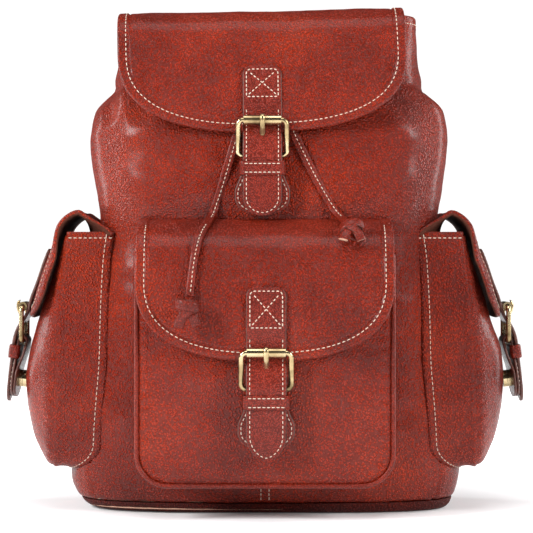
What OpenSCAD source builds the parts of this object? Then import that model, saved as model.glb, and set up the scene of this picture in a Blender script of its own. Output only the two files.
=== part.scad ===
// Leather backpack: a soft body with a hinged lid, a front pocket, two side pockets,
// four buckled closures with magnetic snaps, drawcord laces, a grab handle and two shoulder straps.
// Millimetres. The origin is on the floor under the middle of the bag, +Z is up, the front faces -Y.

/* [Body] */
// Thickness of the leather of the body panels
leather = 2.6; // [2.2:0.1:2.8]
// Thickness of the lining
lining = 1.0; // [0.8:0.1:1.2]
// Height of the neck rim above the floor
rim_h = 395; // [392:1:395]
// How square the body is in plan, where 2 is an ellipse
plan_power = 3.0; // [2.9:0.05:3.1]

/* [Flaps] */
// Thickness of a flap, two layers of leather
flap_t = 3.4; // [3.0:0.1:3.5]
// Half the width of the lid
lid_half_w = 115; // [108:1:118]
// Half the width of the flap of the front pocket
pocket_flap_half_w = 100; // [96:1:102]
// Half the width of the flap of a side pocket
side_flap_half_w = 52; // [50:1:54]

/* [Pockets] */
// Half the width of the front pocket at its face
pocket_half_w = 98.5; // [96:0.5:100]
// How much wider the front pocket is on each side where it meets the body
pocket_flare = 6.5; // [4:0.5:8]
// Half the width of a side pocket
side_half_w = 50; // [48:0.5:51]
// Thickness of the leather of the pockets
pocket_t = 2.4; // [2.0:0.1:2.6]

/* [Closures] */
// Width of a closure strap
strap_w = 31; // [30:0.5:32]
// Thickness of a closure strap
strap_t = 2.6; // [2.2:0.1:2.6]
// Radius of the wire of a buckle
wire_r = 2.0; // [1.8:0.1:2.0]
// Outer radius of a buckle's roller
roller_r = 3.9; // [3.4:0.1:3.9]
// Half the width of a snap tab at its widest
tab_half_w = 22; // [20:0.5:23]
// Radius of a magnetic snap
snap_r = 7; // [6:0.5:8]

/* [Carrying straps] */
// Width of the padded part of a shoulder strap
shoulder_w = 46; // [40:1:48]
// Thickness of the padded part of a shoulder strap
shoulder_t = 7; // [5:0.5:8]
// Radius of the rolled grab handle
handle_r = 4.5; // [4:0.1:4.5]

/* [Hidden] */

// -- measures used by one module each --
cut_depth = 250;
cut_top = 450;
lid_curve = [368, 303, 2.5];
pocket_curve = [188, 124, 2.5];
side_curve = [185, 155, 3];
patch_corner = 6;
strap_reach = 40;
tab_loop_r = 4.5;
tab_back_y = -6.1;
tab_meet_z = -70;
tab_slot_half_w = 3.2;
tab_slot_low = -52;
tab_slot_h = 15;
tab_top_z = -40;
tab_flare_z = -60;
tab_flare_h = 14;
tab_foot_r = 14;
tab_foot_z = -79;
keeper_half_w = 18.4;
keeper_front_y = -14;
keeper_deep = 9.6;
keeper_t = 1.8;
keeper_opening = 6.05;
wire_lap = 0.4;
prong_ring_w = 5;

$fn = 40;

leather_color = "sienna";
dark_leather = "saddlebrown";
brass_color = "darkgoldenrod";
lining_color = "tan";

// The body's shape at each height: half width, half depth and the middle's place along Y.
width_table = [[0, 146], [12, 157], [35, 160], [120, 152], [200, 141], [245, 137], [300, 147],
    [322, 142], [345, 127], [362, 124], [400, 123]];
depth_table = [[0, 66], [12, 73], [35, 75], [120, 76], [200, 75], [245, 73], [300, 73], [322, 66],
    [345, 53], [362, 50], [400, 50]];
middle_table = [[300, 0], [322, 1], [345, 4], [362, 5]];

base_h = 8;
base_floor = 3;
panel_start = base_h + 0.1;
panel_rows = [panel_start, 20, 35, 75, 120, 160, 200, 245, 285, 300, 311, 322, 334, 345, 362, rim_h];
corner_angle = 33.7;
corner_gap = 0.12;

hinge_r = flap_t / 2;

// Outer profiles of the flaps in the YZ plane, from the hinge crease to the free edge.
// A side flap's profile is that of a flap facing -Y, turned to its side later.
lid_path = [[50, 403.2], [30, 405.4], [0, 406], [-25, 405.5], [-46, 402], [-60, 394], [-67, 380],
    [-71.5, 362], [-75, 345], [-77.8, 330], [-79.6, 303]];
pocket_path = [[-92.2, 229.6], [-104, 224], [-114, 214], [-120.5, 200], [-124, 182], [-126, 160],
    [-126, 124]];
side_path = [[-150, 241.7], [-158, 238.8], [-165.5, 231.4], [-172, 219.5], [-177.5, 206], [-183, 191],
    [-187, 178], [-189.4, 168], [-191.6, 155]];
lid_hinge = [50, 401.5];
pocket_hinge = [-93, 228];
side_hinge = [-150.4, 240];
// Outer profiles of the fixed strips that each flap is sewn to.
lid_strip = [[60, 366], [60, 388], [59, 396.8], [53.8, 399.8]];
pocket_strip = [[-74.4, 234.4], [-80, 233.6], [-88.6, 230.9]];
side_strip = [[-143, 222], [-143.4, 233], [-146.8, 240.6]];
strip_t = 3.0;

// The front pocket and the side pockets: how far the face stands out at each height.
pocket_face = [[28, 113], [40, 116], [72, 119.2], [130, 120.5], [160, 120], [190, 117], [205, 113.5]];
pocket_edge_y = 112.4;
pocket_bottom = 28;
pocket_top = 205;
pocket_corner = 24;
side_face = [[34, 175], [45, 184], [62, 191.5], [85, 196], [105, 197], [125, 194.6], [145, 189.2],
    [165, 183], [185, 176.6], [205, 169.4], [222, 162.5]];
side_seam = [[34, 172], [90, 171], [150, 168.5], [190, 164.5], [222, 160.5]];
side_bottom = 34;
side_top = 222;
side_corner = 20;
body_clear = 1.3;

// The closure in its own frame: X across, -Y outward, Z up, with its swing hinge at the origin.
strap_line = [[0, 0], [-0.6, -10], [-1.6, -17.5], [-4.2, -26.5], [-8.2, -34.5], [-10.4, -44],
    [-10.6, -52], [-10.4, -97]];
strap_tip_z = -97;
strap_point = 13;
roller_at = [-7.3, -17.5];
bar_at = [-4, -45.5];
bore_r = wire_r + 0.08;
roller_half_w = 14.8;
frame_half_w = 19.2;
frame_corner = 4.2;
corner_wire_r = wire_r + 0.12;
prong_half_w = 2.0;
prong_t = 3;
prong_ring_r = 3.6;
prong_line = [[-4, -42.5], [-5, -37.5], [-11.5, -28.5], [-13.6, -21], [-13.8, -14.5]];
slot_half_w = 2.9;
slot_low = -38;
slot_high = -24;
tab_t = 2.2;
tab_bore_r = 2.3;
tab_neck = 13.5;
tab_bottom_z = -93;
snap_z = -77;
keeper_z = -60.5;
keeper_h = 11;
patch_t = 2.4;
patch_low = 1.7;
patch_high = 29;
lid_place = [[-2, -80.1, 330], 2.8, 0];
pocket_place = [[1, -127.6, 149], 4.1, 0];
right_place = [[190.6, 0, 180.5], -7, 90];
left_place = [[-190.6, 0, 180.5], -7, -90];

// The laces' routes, from an eyelet down over the body and onto the pocket's flap.
lace_w = 8;
lace_t = 2.2;
eyelet_x = 12;
eyelet_z = 335;
eyelet_lean = 35;
left_lace_route = [[-12, -58.4, 337], [-13, -62.5, 332.5], [-16, -68.3, 323], [-20, -73.6, 309],
    [-24, -74.9, 296], [-30, -75.4, 275], [-36, -75.6, 255], [-40, -77, 243], [-41.5, -80.5, 238],
    [-43, -86.5, 235]];
right_lace_route = [[12, -58.4, 337], [13, -62.5, 332.5], [16, -68.3, 323], [20, -73.6, 309],
    [28, -75, 291], [38, -75.4, 271], [48, -75.8, 253], [54, -77.4, 243], [57, -81, 238.4],
    [60, -86.5, 235.4]];
left_end_route = [[-46, -98.5, 229.6], [-49, -106.5, 224.6], [-52, -115.6, 216], [-55, -122.4, 201],
    [-57, -126, 183], [-58, -129, 174]];
left_knot = [-58.5, -135, 164];
right_knot = [67, -114.8, 225];
knot_size = [17, 14, 20];
left_knot_lean = 3;
right_knot_lean = -45;
drawcord_r = 1.6;

// The carrying straps, right one; the left one is its mirror image.
shoulder_route = [[34, 64.2, 350], [36, 70.5, 345.5], [39, 79, 336], [44, 92, 312], [53, 103, 280],
    [66, 109.5, 240], [79, 110, 210], [88, 107.5, 190], [92, 105.4, 173]];
shoulder_place = [[92, 105, 176], 3, 180];
lower_route = [[92, 102.3, 113], [92.5, 101, 104], [95, 97, 90], [101, 90, 70], [110, 80, 50],
    [120, 70.5, 33]];
lower_w = 30;
lower_t = 3;
handle_route = [[-42, 68, 388], [-42, 68, 378], [-39, 68, 368], [-31, 68, 361], [-20, 68, 358],
    [0, 68, 357], [20, 68, 358], [31, 68, 361], [39, 68, 368], [42, 68, 378], [42, 68, 388]];

// ---- points and meshes ----

function signed_power(v, p) = sign(v) * pow(abs(v), p);

// A point of the body's outline at height z, moved outward by grow.
function body_point(z, angle, grow) = [
    (lookup(z, width_table) + grow) * signed_power(cos(angle), 2 / plan_power),
    lookup(z, middle_table) + (lookup(z, depth_table) + grow) * signed_power(sin(angle), 2 / plan_power),
    z
];

// How far the body's front stands out at a place across it.
function body_depth(x, z) = lookup(z, depth_table)
    * pow(1 - pow(min(0.999, abs(x) / lookup(z, width_table)), plan_power), 1 / plan_power)
    - lookup(z, middle_table);

// How far the body's side stands out at a place along its depth.
function body_reach(y, z) = lookup(z, width_table)
    * pow(1 - pow(min(0.999, abs(y) / lookup(z, depth_table)), plan_power), 1 / plan_power);

function flatten(grid) = [for (row = grid) each row];
function split(q) = [[q[0], q[1], q[2]], [q[0], q[2], q[3]]];

// A closed shell between two grids of points with the same rows and columns.
module grid_solid(outer, inner) {
    rows = len(outer);
    cols = len(outer[0]);
    back = rows * cols;
    faces = [
        for (i = [0:rows - 2]) for (j = [0:cols - 2]) let (p = i * cols + j) each concat(
            split([p, p + cols, p + cols + 1, p + 1]),
            split([back + p, back + p + 1, back + p + cols + 1, back + p + cols])),
        for (i = [0:rows - 2]) let (p = i * cols, q = p + cols - 1) each concat(
            split([back + p, back + p + cols, p + cols, p]),
            split([q, q + cols, back + q + cols, back + q])),
        for (j = [0:cols - 2]) let (p = (rows - 1) * cols + j) each concat(
            split([p, back + p, back + p + 1, p + 1]),
            split([j, j + 1, back + j + 1, back + j]))
    ];
    polyhedron(concat(flatten(outer), flatten(inner)), faces);
}

// A closed bag of leather: walls at every row, an open top and a closed floor.
module bag_solid(outer, inner) {
    rows = len(outer);
    cols = len(outer[0]);
    back = rows * cols;
    faces = [
        for (i = [0:rows - 2]) for (j = [0:cols - 1])
            let (p = i * cols + j, n = i * cols + (j + 1) % cols) each concat(
                split([p, p + cols, n + cols, n]),
                split([back + p, back + n, back + n + cols, back + p + cols])),
        for (j = [0:cols - 1]) let (top = (rows - 1) * cols, p = top + j, n = top + (j + 1) % cols)
            each split([p, back + p, back + n, n]),
        [for (j = [0:cols - 1]) j],
        [for (j = [cols - 1:-1:0]) back + j]
    ];
    polyhedron(concat(flatten(outer), flatten(inner)), faces);
}

function unit(v) = v / norm(v);
function tangent(line, i) = unit(line[min(i + 1, len(line) - 1)] - line[max(i - 1, 0)]);

// An oval section of width w and thickness t, squared off for a strap.
function oval(w, t, count, power) = [for (k = [0:count - 1]) let (a = 360 * (k + 0.5) / count)
    [w / 2 * signed_power(cos(a), 2 / power), t / 2 * signed_power(sin(a), 2 / power)]];

// A solid swept along a line, with one section for each point and its width along side.
module sweep(line, sections, side) {
    count = len(sections[0]);
    last = len(line) - 1;
    points = [for (i = [0:last])
        let (t = tangent(line, i), s = unit(side - (side * t) * t), n = cross(t, s))
        each [for (q = sections[i]) line[i] + q[0] * s + q[1] * n]];
    faces = [
        for (i = [0:last - 1]) for (j = [0:count - 1])
            let (p = i * count + j, n = i * count + (j + 1) % count)
            each split([p, p + count, n + count, n]),
        [for (j = [0:count - 1]) j],
        [for (j = [count - 1:-1:0]) last * count + j]
    ];
    polyhedron(points, faces);
}

module even_sweep(line, section, side) {
    sweep(line, [for (p = line) section], side);
}

// ---- flat profiles ----

function side_step(line, i) = let (t = tangent(line, i)) [-t[1], t[0]];
function moved(line, d) = [for (i = [0:len(line) - 1]) line[i] + d * side_step(line, i)];
function reversed(line) = [for (i = [len(line) - 1:-1:0]) line[i]];
function band(line, from, to) = concat(moved(line, from), reversed(moved(line, to)));

// Stands a YZ profile up and gives it a width along X, centred.
module across(width) {
    rotate([90, 0, 90]) linear_extrude(width, center = true) children();
}

// Gives an XZ outline a depth along Y.
module through(y_from, y_to) {
    translate([0, y_to, 0]) rotate([90, 0, 0]) linear_extrude(y_to - y_from) children();
}

// A U-shaped outline: straight sides from top to start, then one rounded end down to bottom.
module u_outline(half_w, top, start, bottom, power) {
    steps = 20;
    polygon(concat([[half_w, top]], [for (k = [0:steps]) let (a = 180 * k / steps)
        [half_w * signed_power(cos(a), 2 / power), start - (start - bottom) * pow(sin(a), 2 / power)]],
        [[-half_w, top]]));
}

// The line of a pocket's seam: down the left side, round two corners and up the right side.
function u_line(half_w, top, bottom, corner) = concat(
    [for (z = [top, (top * 2 + bottom) / 3, (top + bottom * 2) / 3]) [-half_w, z]],
    [for (a = [180:15:270]) [-half_w + corner + corner * cos(a), bottom + corner + corner * sin(a)]],
    [[0, bottom]],
    [for (a = [270:15:360]) [half_w - corner + corner * cos(a), bottom + corner + corner * sin(a)]],
    [for (z = [(top + bottom * 2) / 3, (top * 2 + bottom) / 3, top]) [half_w, z]]);

// ---- body ----

module body_panel(from_angle, to_angle, steps) {
    step = (to_angle - from_angle) / steps;
    outer = [for (z = panel_rows) [for (k = [0:steps]) body_point(z, from_angle + k * step, 0)]];
    inner = [for (z = panel_rows) [for (k = [0:steps]) body_point(z, from_angle + k * step, -leather)]];
    grid_solid(outer, inner);
}

module front_panel() {
    color(leather_color) difference() {
        body_panel(-180 + corner_angle + corner_gap, -corner_angle - corner_gap, 16);
        for (x = [-eyelet_x, eyelet_x]) eyelet_place(x) cylinder(h = 14, r = 5.2, center = true);
    }
}

module back_panel() {
    color(leather_color) body_panel(corner_angle + corner_gap, 180 - corner_angle - corner_gap, 16);
}

module right_side_panel() {
    color(leather_color) body_panel(-corner_angle + corner_gap, corner_angle - corner_gap, 8);
}

module left_side_panel() {
    color(leather_color) body_panel(180 - corner_angle + corner_gap, 180 + corner_angle - corner_gap, 8);
}

module plan(z, grow) {
    polygon([for (a = [0:10:350]) let (p = body_point(z, a, grow)) [p[0], p[1]]]);
}

module base_panel() {
    color(dark_leather) difference() {
        union() {
            linear_extrude(base_floor) plan(2, 0);
            translate([0, 0, base_floor]) linear_extrude(base_h - base_floor) plan(base_h, 0);
        }
        translate([0, 0, base_floor]) linear_extrude(base_h) plan(2, -1);
    }
}

module base_board() {
    color("dimgray") translate([0, 0, base_floor]) linear_extrude(base_h - base_floor - 0.4) plan(2, -1.4);
}

module main_lining() {
    rows = concat([base_h + 0.4], [for (k = [1:len(panel_rows) - 2]) panel_rows[k]], [rim_h - 1]);
    outer_grow = -leather - 0.9;
    outer = [for (z = rows) [for (a = [0:15:345]) body_point(z, a, outer_grow)]];
    inner = [for (z = rows) [for (a = [0:15:345])
        body_point(max(z, rows[0] + lining), a, outer_grow - lining)]];
    color(lining_color) difference() {
        bag_solid(outer, inner);
        for (x = [-eyelet_x, eyelet_x]) eyelet_place(x) cylinder(h = 16, r = 5.2, center = true);
    }
}

// ---- drawcord, eyelets and laces ----

// Stands a child at an eyelet, with its axis square to the leather.
module eyelet_place(x) {
    translate([x, -body_depth(x, eyelet_z), eyelet_z]) rotate([90 - eyelet_lean, 0, 0]) children();
}

module neck_eyelets() {
    color(brass_color) for (x = [-eyelet_x, eyelet_x]) eyelet_place(x) difference() {
        union() {
            translate([0, 0, 0.15]) cylinder(h = 1, r = 7);
            translate([0, 0, -5]) cylinder(h = 5.5, r = 5);
        }
        cylinder(h = 20, r = 4.2, center = true);
    }
}

module drawcord() {
    line = [for (a = [-86:16:266]) body_point(eyelet_z, a, -7.5)];
    color(dark_leather) even_sweep(line, oval(2 * drawcord_r, 2 * drawcord_r, 8, 2), [0, 0, 1]);
}

module lace(route) {
    color(dark_leather) even_sweep(route, oval(lace_w, lace_t, 8, 3), [1, 0, 0]);
}

module lace_knots() {
    color(dark_leather) for (knot = [[left_knot, left_knot_lean], [right_knot, right_knot_lean]])
        translate(knot[0]) rotate([knot[1], 0, 0])
            even_sweep([for (k = [-2:2]) [0, 0, k * knot_size[2] / 5]],
                oval(knot_size[0], knot_size[1], 12, 2.4), [1, 0, 0]);
}

// ---- pockets ----

// The face of a pocket: bulged, with rounded lower corners. seam gives the depth of its edge.
module pocket_shell(face, half_w, bottom, top, corner, edge, thickness) {
    rows = concat([for (a = [0:22.5:90]) bottom + corner * (1 - cos(a))],
        [for (k = [1:6]) bottom + corner + (top - bottom - corner) * k / 6]);
    across_steps = 12;
    function reach(z) = z >= bottom + corner ? half_w
        : half_w - corner + sqrt(max(0, corner * corner - pow(bottom + corner - z, 2)));
    function at(z, k, back) = let (u = -1 + 2 * k / across_steps, rim = lookup(z, edge))
        [u * reach(z), -rim - (lookup(z, face) - rim) * (1 - pow(abs(u), 3)) + back, z];
    grid_solid([for (z = rows) [for (k = [0:across_steps]) at(z, k, 0)]],
        [for (z = rows) [for (k = [0:across_steps]) at(z, k, thickness)]]);
}

module pocket_panel() {
    color(leather_color) pocket_shell(pocket_face, pocket_half_w, pocket_bottom, pocket_top,
        pocket_corner, [[0, pocket_edge_y]], pocket_t);
}

module pocket_gusset() {
    front_y = -pocket_edge_y + pocket_t + 0.3;
    function ring(inset, wide) = u_line(pocket_half_w + wide - inset, pocket_top,
        pocket_bottom - wide / 2 + inset, pocket_corner + wide - inset);
    function wall(inset) = let (near = ring(inset, pocket_flare), far = ring(inset, 0))
        [for (i = [0:len(near) - 1]) [
            [near[i][0], -body_depth(near[i][0], near[i][1]) - body_clear, near[i][1]],
            [far[i][0], front_y, far[i][1]]]];
    color(leather_color) grid_solid(wall(pocket_t), wall(0));
}

module pocket_welt() {
    line = [for (p = u_line(pocket_half_w + 2.1, pocket_top, pocket_bottom - 2.1, pocket_corner + 2.1))
        [p[0], -pocket_edge_y + 1, p[1]]];
    color(dark_leather) even_sweep(line, oval(3.4, 3.4, 8, 2), [0, 1, 0]);
}

module side_pocket_panel() {
    color(leather_color) pocket_shell(side_face, side_half_w, side_bottom, side_top,
        side_corner, side_seam, pocket_t);
}

module side_pocket_gusset() {
    function ring(inset) = u_line(side_half_w - inset, side_top, side_bottom + inset,
        side_corner - inset);
    function wall(inset) = [for (p = ring(inset)) [
        [p[0], -body_reach(p[0], p[1]) - body_clear, p[1]],
        [p[0], -lookup(p[1], side_seam) + pocket_t + 0.3, p[1]]]];
    color(leather_color) grid_solid(wall(pocket_t), wall(0));
}

// ---- flaps ----

module flap(path, hinge, half_w, start, bottom, power, patch_at) {
    color(leather_color) {
        intersection() {
            union() {
                across(2 * half_w + 2) polygon(band(path, 0, flap_t));
                translate([0, hinge[0], hinge[1]]) across(2 * half_w + 2) circle(r = hinge_r);
            }
            through(-cut_depth, cut_depth) u_outline(half_w, cut_top, start, bottom, power);
        }
        // The X-box patch that holds the closure strap, sewn on the flap's face.
        translate([patch_at[0], 0, 0]) intersection() {
            across(strap_w) polygon(band(path, -patch_t, 1));
            translate([0, 0, patch_at[1]]) through(-cut_depth, cut_depth) union() {
                translate([-strap_w / 2, patch_low])
                    square([strap_w, patch_high - patch_low - patch_corner]);
                translate([-strap_w / 2 + patch_corner, patch_low])
                    square([strap_w - 2 * patch_corner, patch_high - patch_low]);
                for (x = [-1, 1]) translate([x * (strap_w / 2 - patch_corner), patch_high - patch_corner])
                    circle(r = patch_corner);
            }
        }
    }
}

module main_flap() {
    flap(lid_path, lid_hinge, lid_half_w, lid_curve[0], lid_curve[1], lid_curve[2],
        [lid_place[0][0], lid_place[0][2]]);
}

module pocket_flap() {
    flap(pocket_path, pocket_hinge, pocket_flap_half_w,
        pocket_curve[0], pocket_curve[1], pocket_curve[2],
        [pocket_place[0][0], pocket_place[0][2]]);
}

module side_flap() {
    flap(side_path, side_hinge, side_flap_half_w, side_curve[0], side_curve[1], side_curve[2],
        [0, right_place[0][2]]);
}

module flap_hinge_strips() {
    color(dark_leather) {
        across(2 * lid_half_w) polygon(band(lid_strip, 0, strip_t));
        across(2 * pocket_flap_half_w) polygon(band(pocket_strip, 0, strip_t));
        for (turn = [90, -90]) rotate([0, 0, turn])
            across(2 * side_flap_half_w) polygon(band(side_strip, -strip_t, 0));
    }
}

// ---- closures ----

module placed(place) {
    translate(place[0]) rotate([0, 0, place[2]]) rotate([place[1], 0, 0]) children();
}

// The strap with its pointed tip, the hole for the prong and a round root that turns on the hinge.
module closure_strap() {
    color(leather_color) difference() {
        intersection() {
            union() {
                across(strap_w) polygon(band(strap_line, -strap_t / 2, strap_t / 2));
                across(strap_w) circle(r = strap_t / 2);
            }
            through(-strap_reach, strap_reach)
                u_outline(strap_w / 2, 10, strap_tip_z + strap_point, strap_tip_z, 2.2);
        }
        translate([-slot_half_w, -strap_reach, slot_low])
            cube([2 * slot_half_w, 2 * strap_reach, slot_high - slot_low]);
    }
}

// The snap tab: two layers folded round the buckle's lower bar, with a keeper round its neck.
module closure_tab() {
    front_y = bar_at[0] - tab_loop_r;
    front_leg = [[front_y, bar_at[1]], [front_y, tab_bottom_z],
        [front_y + tab_t, tab_bottom_z], [bar_at[0] - tab_bore_r, bar_at[1]]];
    back_leg = [[bar_at[0] + tab_bore_r, bar_at[1]], [tab_back_y, tab_meet_z],
        [tab_back_y, tab_bottom_z], [tab_back_y + tab_t, tab_bottom_z],
        [tab_back_y + tab_t, tab_meet_z], [bar_at[0] + tab_loop_r, bar_at[1]]];
    color(dark_leather) {
        difference() {
            intersection() {
                across(2 * tab_half_w) difference() {
                    union() {
                        translate(bar_at) circle(r = tab_loop_r);
                        polygon(front_leg);
                        polygon(back_leg);
                    }
                    translate(bar_at) circle(r = tab_bore_r);
                    polygon([[bar_at[0] - tab_bore_r, bar_at[1]], [tab_back_y - 0.2, tab_meet_z],
                        [tab_back_y, tab_meet_z], [bar_at[0] + tab_bore_r, bar_at[1]]]);
                }
                through(-strap_reach, strap_reach) tab_outline();
            }
            translate([-tab_slot_half_w, -strap_reach, tab_slot_low])
                cube([2 * tab_slot_half_w, 2 * strap_reach, tab_slot_h]);
        }
        keeper();
    }
}

module tab_outline() {
    flare = [for (k = [0:4]) let (u = k / 4)
        [tab_neck + (tab_half_w - tab_neck) * (3 * u * u - 2 * u * u * u), tab_flare_z - tab_flare_h * u]];
    foot = [for (a = [0:15:90])
        [tab_half_w - tab_foot_r + tab_foot_r * cos(a), tab_foot_z - tab_foot_r * sin(a)]];
    half = concat([[tab_neck, tab_top_z]], flare, foot);
    polygon(concat(half, reversed([for (p = half) [-p[0], p[1]]])));
}

module keeper() {
    translate([0, 0, keeper_z]) linear_extrude(keeper_h) difference() {
        translate([-keeper_half_w, keeper_front_y]) square([2 * keeper_half_w, keeper_deep]);
        translate([keeper_t - keeper_half_w, keeper_front_y + keeper_t])
            square([2 * (keeper_half_w - keeper_t), keeper_opening]);
    }
}

// Lays children in the plane of a buckle, with X across and Y up its slope, from its lower bar.
buckle_h = norm(roller_at - bar_at);
buckle_slope = atan2(bar_at[0] - roller_at[0], roller_at[1] - bar_at[1]);

module buckle_plane() {
    translate([0, bar_at[0], bar_at[1]]) rotate([buckle_slope, 0, 0]) rotate([90, 0, 0]) children();
}

// A wire frame: four straight bars and four bent corners.
module closure_frame() {
    inner_w = frame_half_w - frame_corner;
    color(brass_color) buckle_plane() {
        for (y = [0, buckle_h]) translate([0, y, 0]) rotate([0, 90, 0])
            cylinder(h = 2 * (inner_w + wire_lap), r = wire_r, center = true);
        for (x = [-frame_half_w, frame_half_w]) translate([x, frame_corner - wire_lap, 0])
            rotate([-90, 0, 0]) cylinder(h = buckle_h - 2 * (frame_corner - wire_lap), r = wire_r);
        for (corner = [[inner_w, buckle_h - frame_corner, 0], [-inner_w, buckle_h - frame_corner, 90],
            [-inner_w, frame_corner, 180], [inner_w, frame_corner, 270]])
            translate([corner[0], corner[1], 0]) rotate([0, 0, corner[2]])
                rotate_extrude(angle = 90) translate([frame_corner, 0]) circle(r = corner_wire_r);
    }
}

module closure_roller() {
    color(brass_color) translate([0, roller_at[0], roller_at[1]]) across(2 * roller_half_w)
        difference() {
            circle(r = roller_r);
            circle(r = bore_r);
        }
}

// The prong: a ring on the lower bar and an arm that lies over the roller.
module closure_prong() {
    color(brass_color) difference() {
        union() {
            translate([0, bar_at[0], bar_at[1]]) across(prong_ring_w) circle(r = prong_ring_r);
            across(2 * prong_half_w) polygon(band(prong_line, -prong_t / 2, prong_t / 2));
        }
        translate([0, bar_at[0], bar_at[1]]) across(2 * prong_ring_w) circle(r = bore_r);
    }
}

module snap_stud() {
    color(brass_color) {
        translate([0, -0.9, snap_z]) rotate([90, 0, 0]) cylinder(h = 3, r = snap_r);
        translate([0, 0.1, snap_z]) rotate([90, 0, 0]) cylinder(h = 1.2, r = 2.2);
    }
}

module snap_socket() {
    difference() {
        translate([0, 2.6, snap_z]) rotate([90, 0, 0]) cylinder(h = 3.2, r = snap_r);
        translate([0, 0.6, snap_z]) rotate([90, 0, 0]) cylinder(h = 3, r = 3.4);
    }
}

module snap_sockets() {
    color(brass_color) for (place = [lid_place, pocket_place, right_place, left_place])
        placed(place) snap_socket();
}

// ---- back: yoke, handle and shoulder straps ----

module back_yoke() {
    rows = [338, 345, 353, 362];
    outer = [for (z = rows) [for (a = [62:7:118]) body_point(z, a, 2.4)]];
    inner = [for (z = rows) [for (a = [62:7:118]) body_point(z, a, 0.2)]];
    color(dark_leather) {
        grid_solid(outer, inner);
        for (x = [-42, 42]) translate([x - 7, 60.3, 376]) cube([14, 2.4, 20]);
    }
}

module grab_handle() {
    color(dark_leather) even_sweep(handle_route, oval(2 * handle_r, 2 * handle_r, 12, 2), [0, 1, 0]);
}

module shoulder_strap() {
    last = len(shoulder_route) - 1;
    sections = [for (i = [0:last]) let (u = max(0, (i - 4) / (last - 4)))
        oval(shoulder_w + (lower_w - shoulder_w) * u, shoulder_t + (strap_t - shoulder_t) * u, 12, 4)];
    color(leather_color) {
        sweep(shoulder_route, sections, [1, 0, 0]);
        placed(shoulder_place) difference() {
            intersection() {
                across(lower_w) polygon(band(strap_line, -strap_t / 2, strap_t / 2));
                through(-40, 40) u_outline(lower_w / 2, -2, strap_tip_z + strap_point, strap_tip_z, 2.2);
            }
            translate([-slot_half_w, -strap_reach, slot_low])
            cube([2 * slot_half_w, 2 * strap_reach, slot_high - slot_low]);
        }
    }
}

// The lower strap: a loop round the buckle's lower bar, then down to its anchor on the body.
module lower_strap() {
    placed(shoulder_place) difference() {
        across(2 * tab_neck) difference() {
            union() {
                translate(bar_at) circle(r = 4.5);
                translate([bar_at[0] + tab_bore_r, bar_at[1] - 20.5]) square([tab_t, 20.5]);
            }
            translate(bar_at) circle(r = tab_bore_r);
        }
        translate([-3.2, -20, -52]) cube([6.4, 40, 15]);
    }
    even_sweep(lower_route, oval(lower_w, lower_t, 8, 4), [1, 0, 0]);
}

module both_sides() {
    children();
    mirror([1, 0, 0]) children();
}

// ---- nodes ----

front_panel();
back_panel();
left_side_panel();
right_side_panel();
base_panel();
base_board();
main_lining();
neck_eyelets();
drawcord();
lace(left_lace_route);  // left_lace
lace(right_lace_route);  // right_lace
lace(left_end_route);  // left_lace_end
lace_knots();
pocket_panel();
pocket_gusset();
pocket_welt();
rotate([0, 0, -90]) side_pocket_panel();  // left_pocket_panel
rotate([0, 0, -90]) side_pocket_gusset();  // left_pocket_gusset
rotate([0, 0, 90]) side_pocket_panel();  // right_pocket_panel
rotate([0, 0, 90]) side_pocket_gusset();  // right_pocket_gusset
snap_sockets();
flap_hinge_strips();
back_yoke();
mirror([1, 0, 0]) shoulder_strap();  // left_shoulder_strap
shoulder_strap();  // right_shoulder_strap
color(dark_leather) both_sides() lower_strap();  // lower_straps
both_sides() placed(shoulder_place) closure_frame();  // shoulder_buckle_frames
both_sides() placed(shoulder_place) closure_prong();  // shoulder_prongs
mirror([1, 0, 0]) placed(shoulder_place) closure_roller();  // left_shoulder_roller
placed(shoulder_place) closure_roller();  // right_shoulder_roller
grab_handle();
main_flap();
pocket_flap();
rotate([0, 0, -90]) side_flap();  // left_flap
rotate([0, 0, 90]) side_flap();  // right_flap
placed(lid_place) closure_strap();  // main_strap
placed(lid_place) closure_tab();  // main_tab
placed(lid_place) closure_frame();  // main_frame
placed(lid_place) snap_stud();  // main_stud
placed(lid_place) closure_roller();  // main_roller
placed(lid_place) closure_prong();  // main_prong
placed(pocket_place) closure_strap();  // pocket_strap
placed(pocket_place) closure_tab();  // pocket_tab
placed(pocket_place) closure_frame();  // pocket_frame
placed(pocket_place) snap_stud();  // pocket_stud
placed(pocket_place) closure_roller();  // pocket_roller
placed(pocket_place) closure_prong();  // pocket_prong
placed(left_place) closure_strap();  // left_strap
placed(left_place) closure_tab();  // left_tab
placed(left_place) closure_frame();  // left_frame
placed(left_place) snap_stud();  // left_stud
placed(left_place) closure_roller();  // left_roller
placed(left_place) closure_prong();  // left_prong
placed(right_place) closure_strap();  // right_strap
placed(right_place) closure_tab();  // right_tab
placed(right_place) closure_frame();  // right_frame
placed(right_place) snap_stud();  // right_stud
placed(right_place) closure_roller();  // right_roller
placed(right_place) closure_prong();  // right_prong
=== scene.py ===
"""A pebbled leather backpack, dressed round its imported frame.

Shapes are worked out in millimetres in the row frame and turned into metres when a mesh is made.
"Face" coordinates are those of a piece that faces -Y; a piece on a side is turned into place later.
"""

import math

import bmesh
import bpy
import numpy as np
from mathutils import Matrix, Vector, noise


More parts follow.
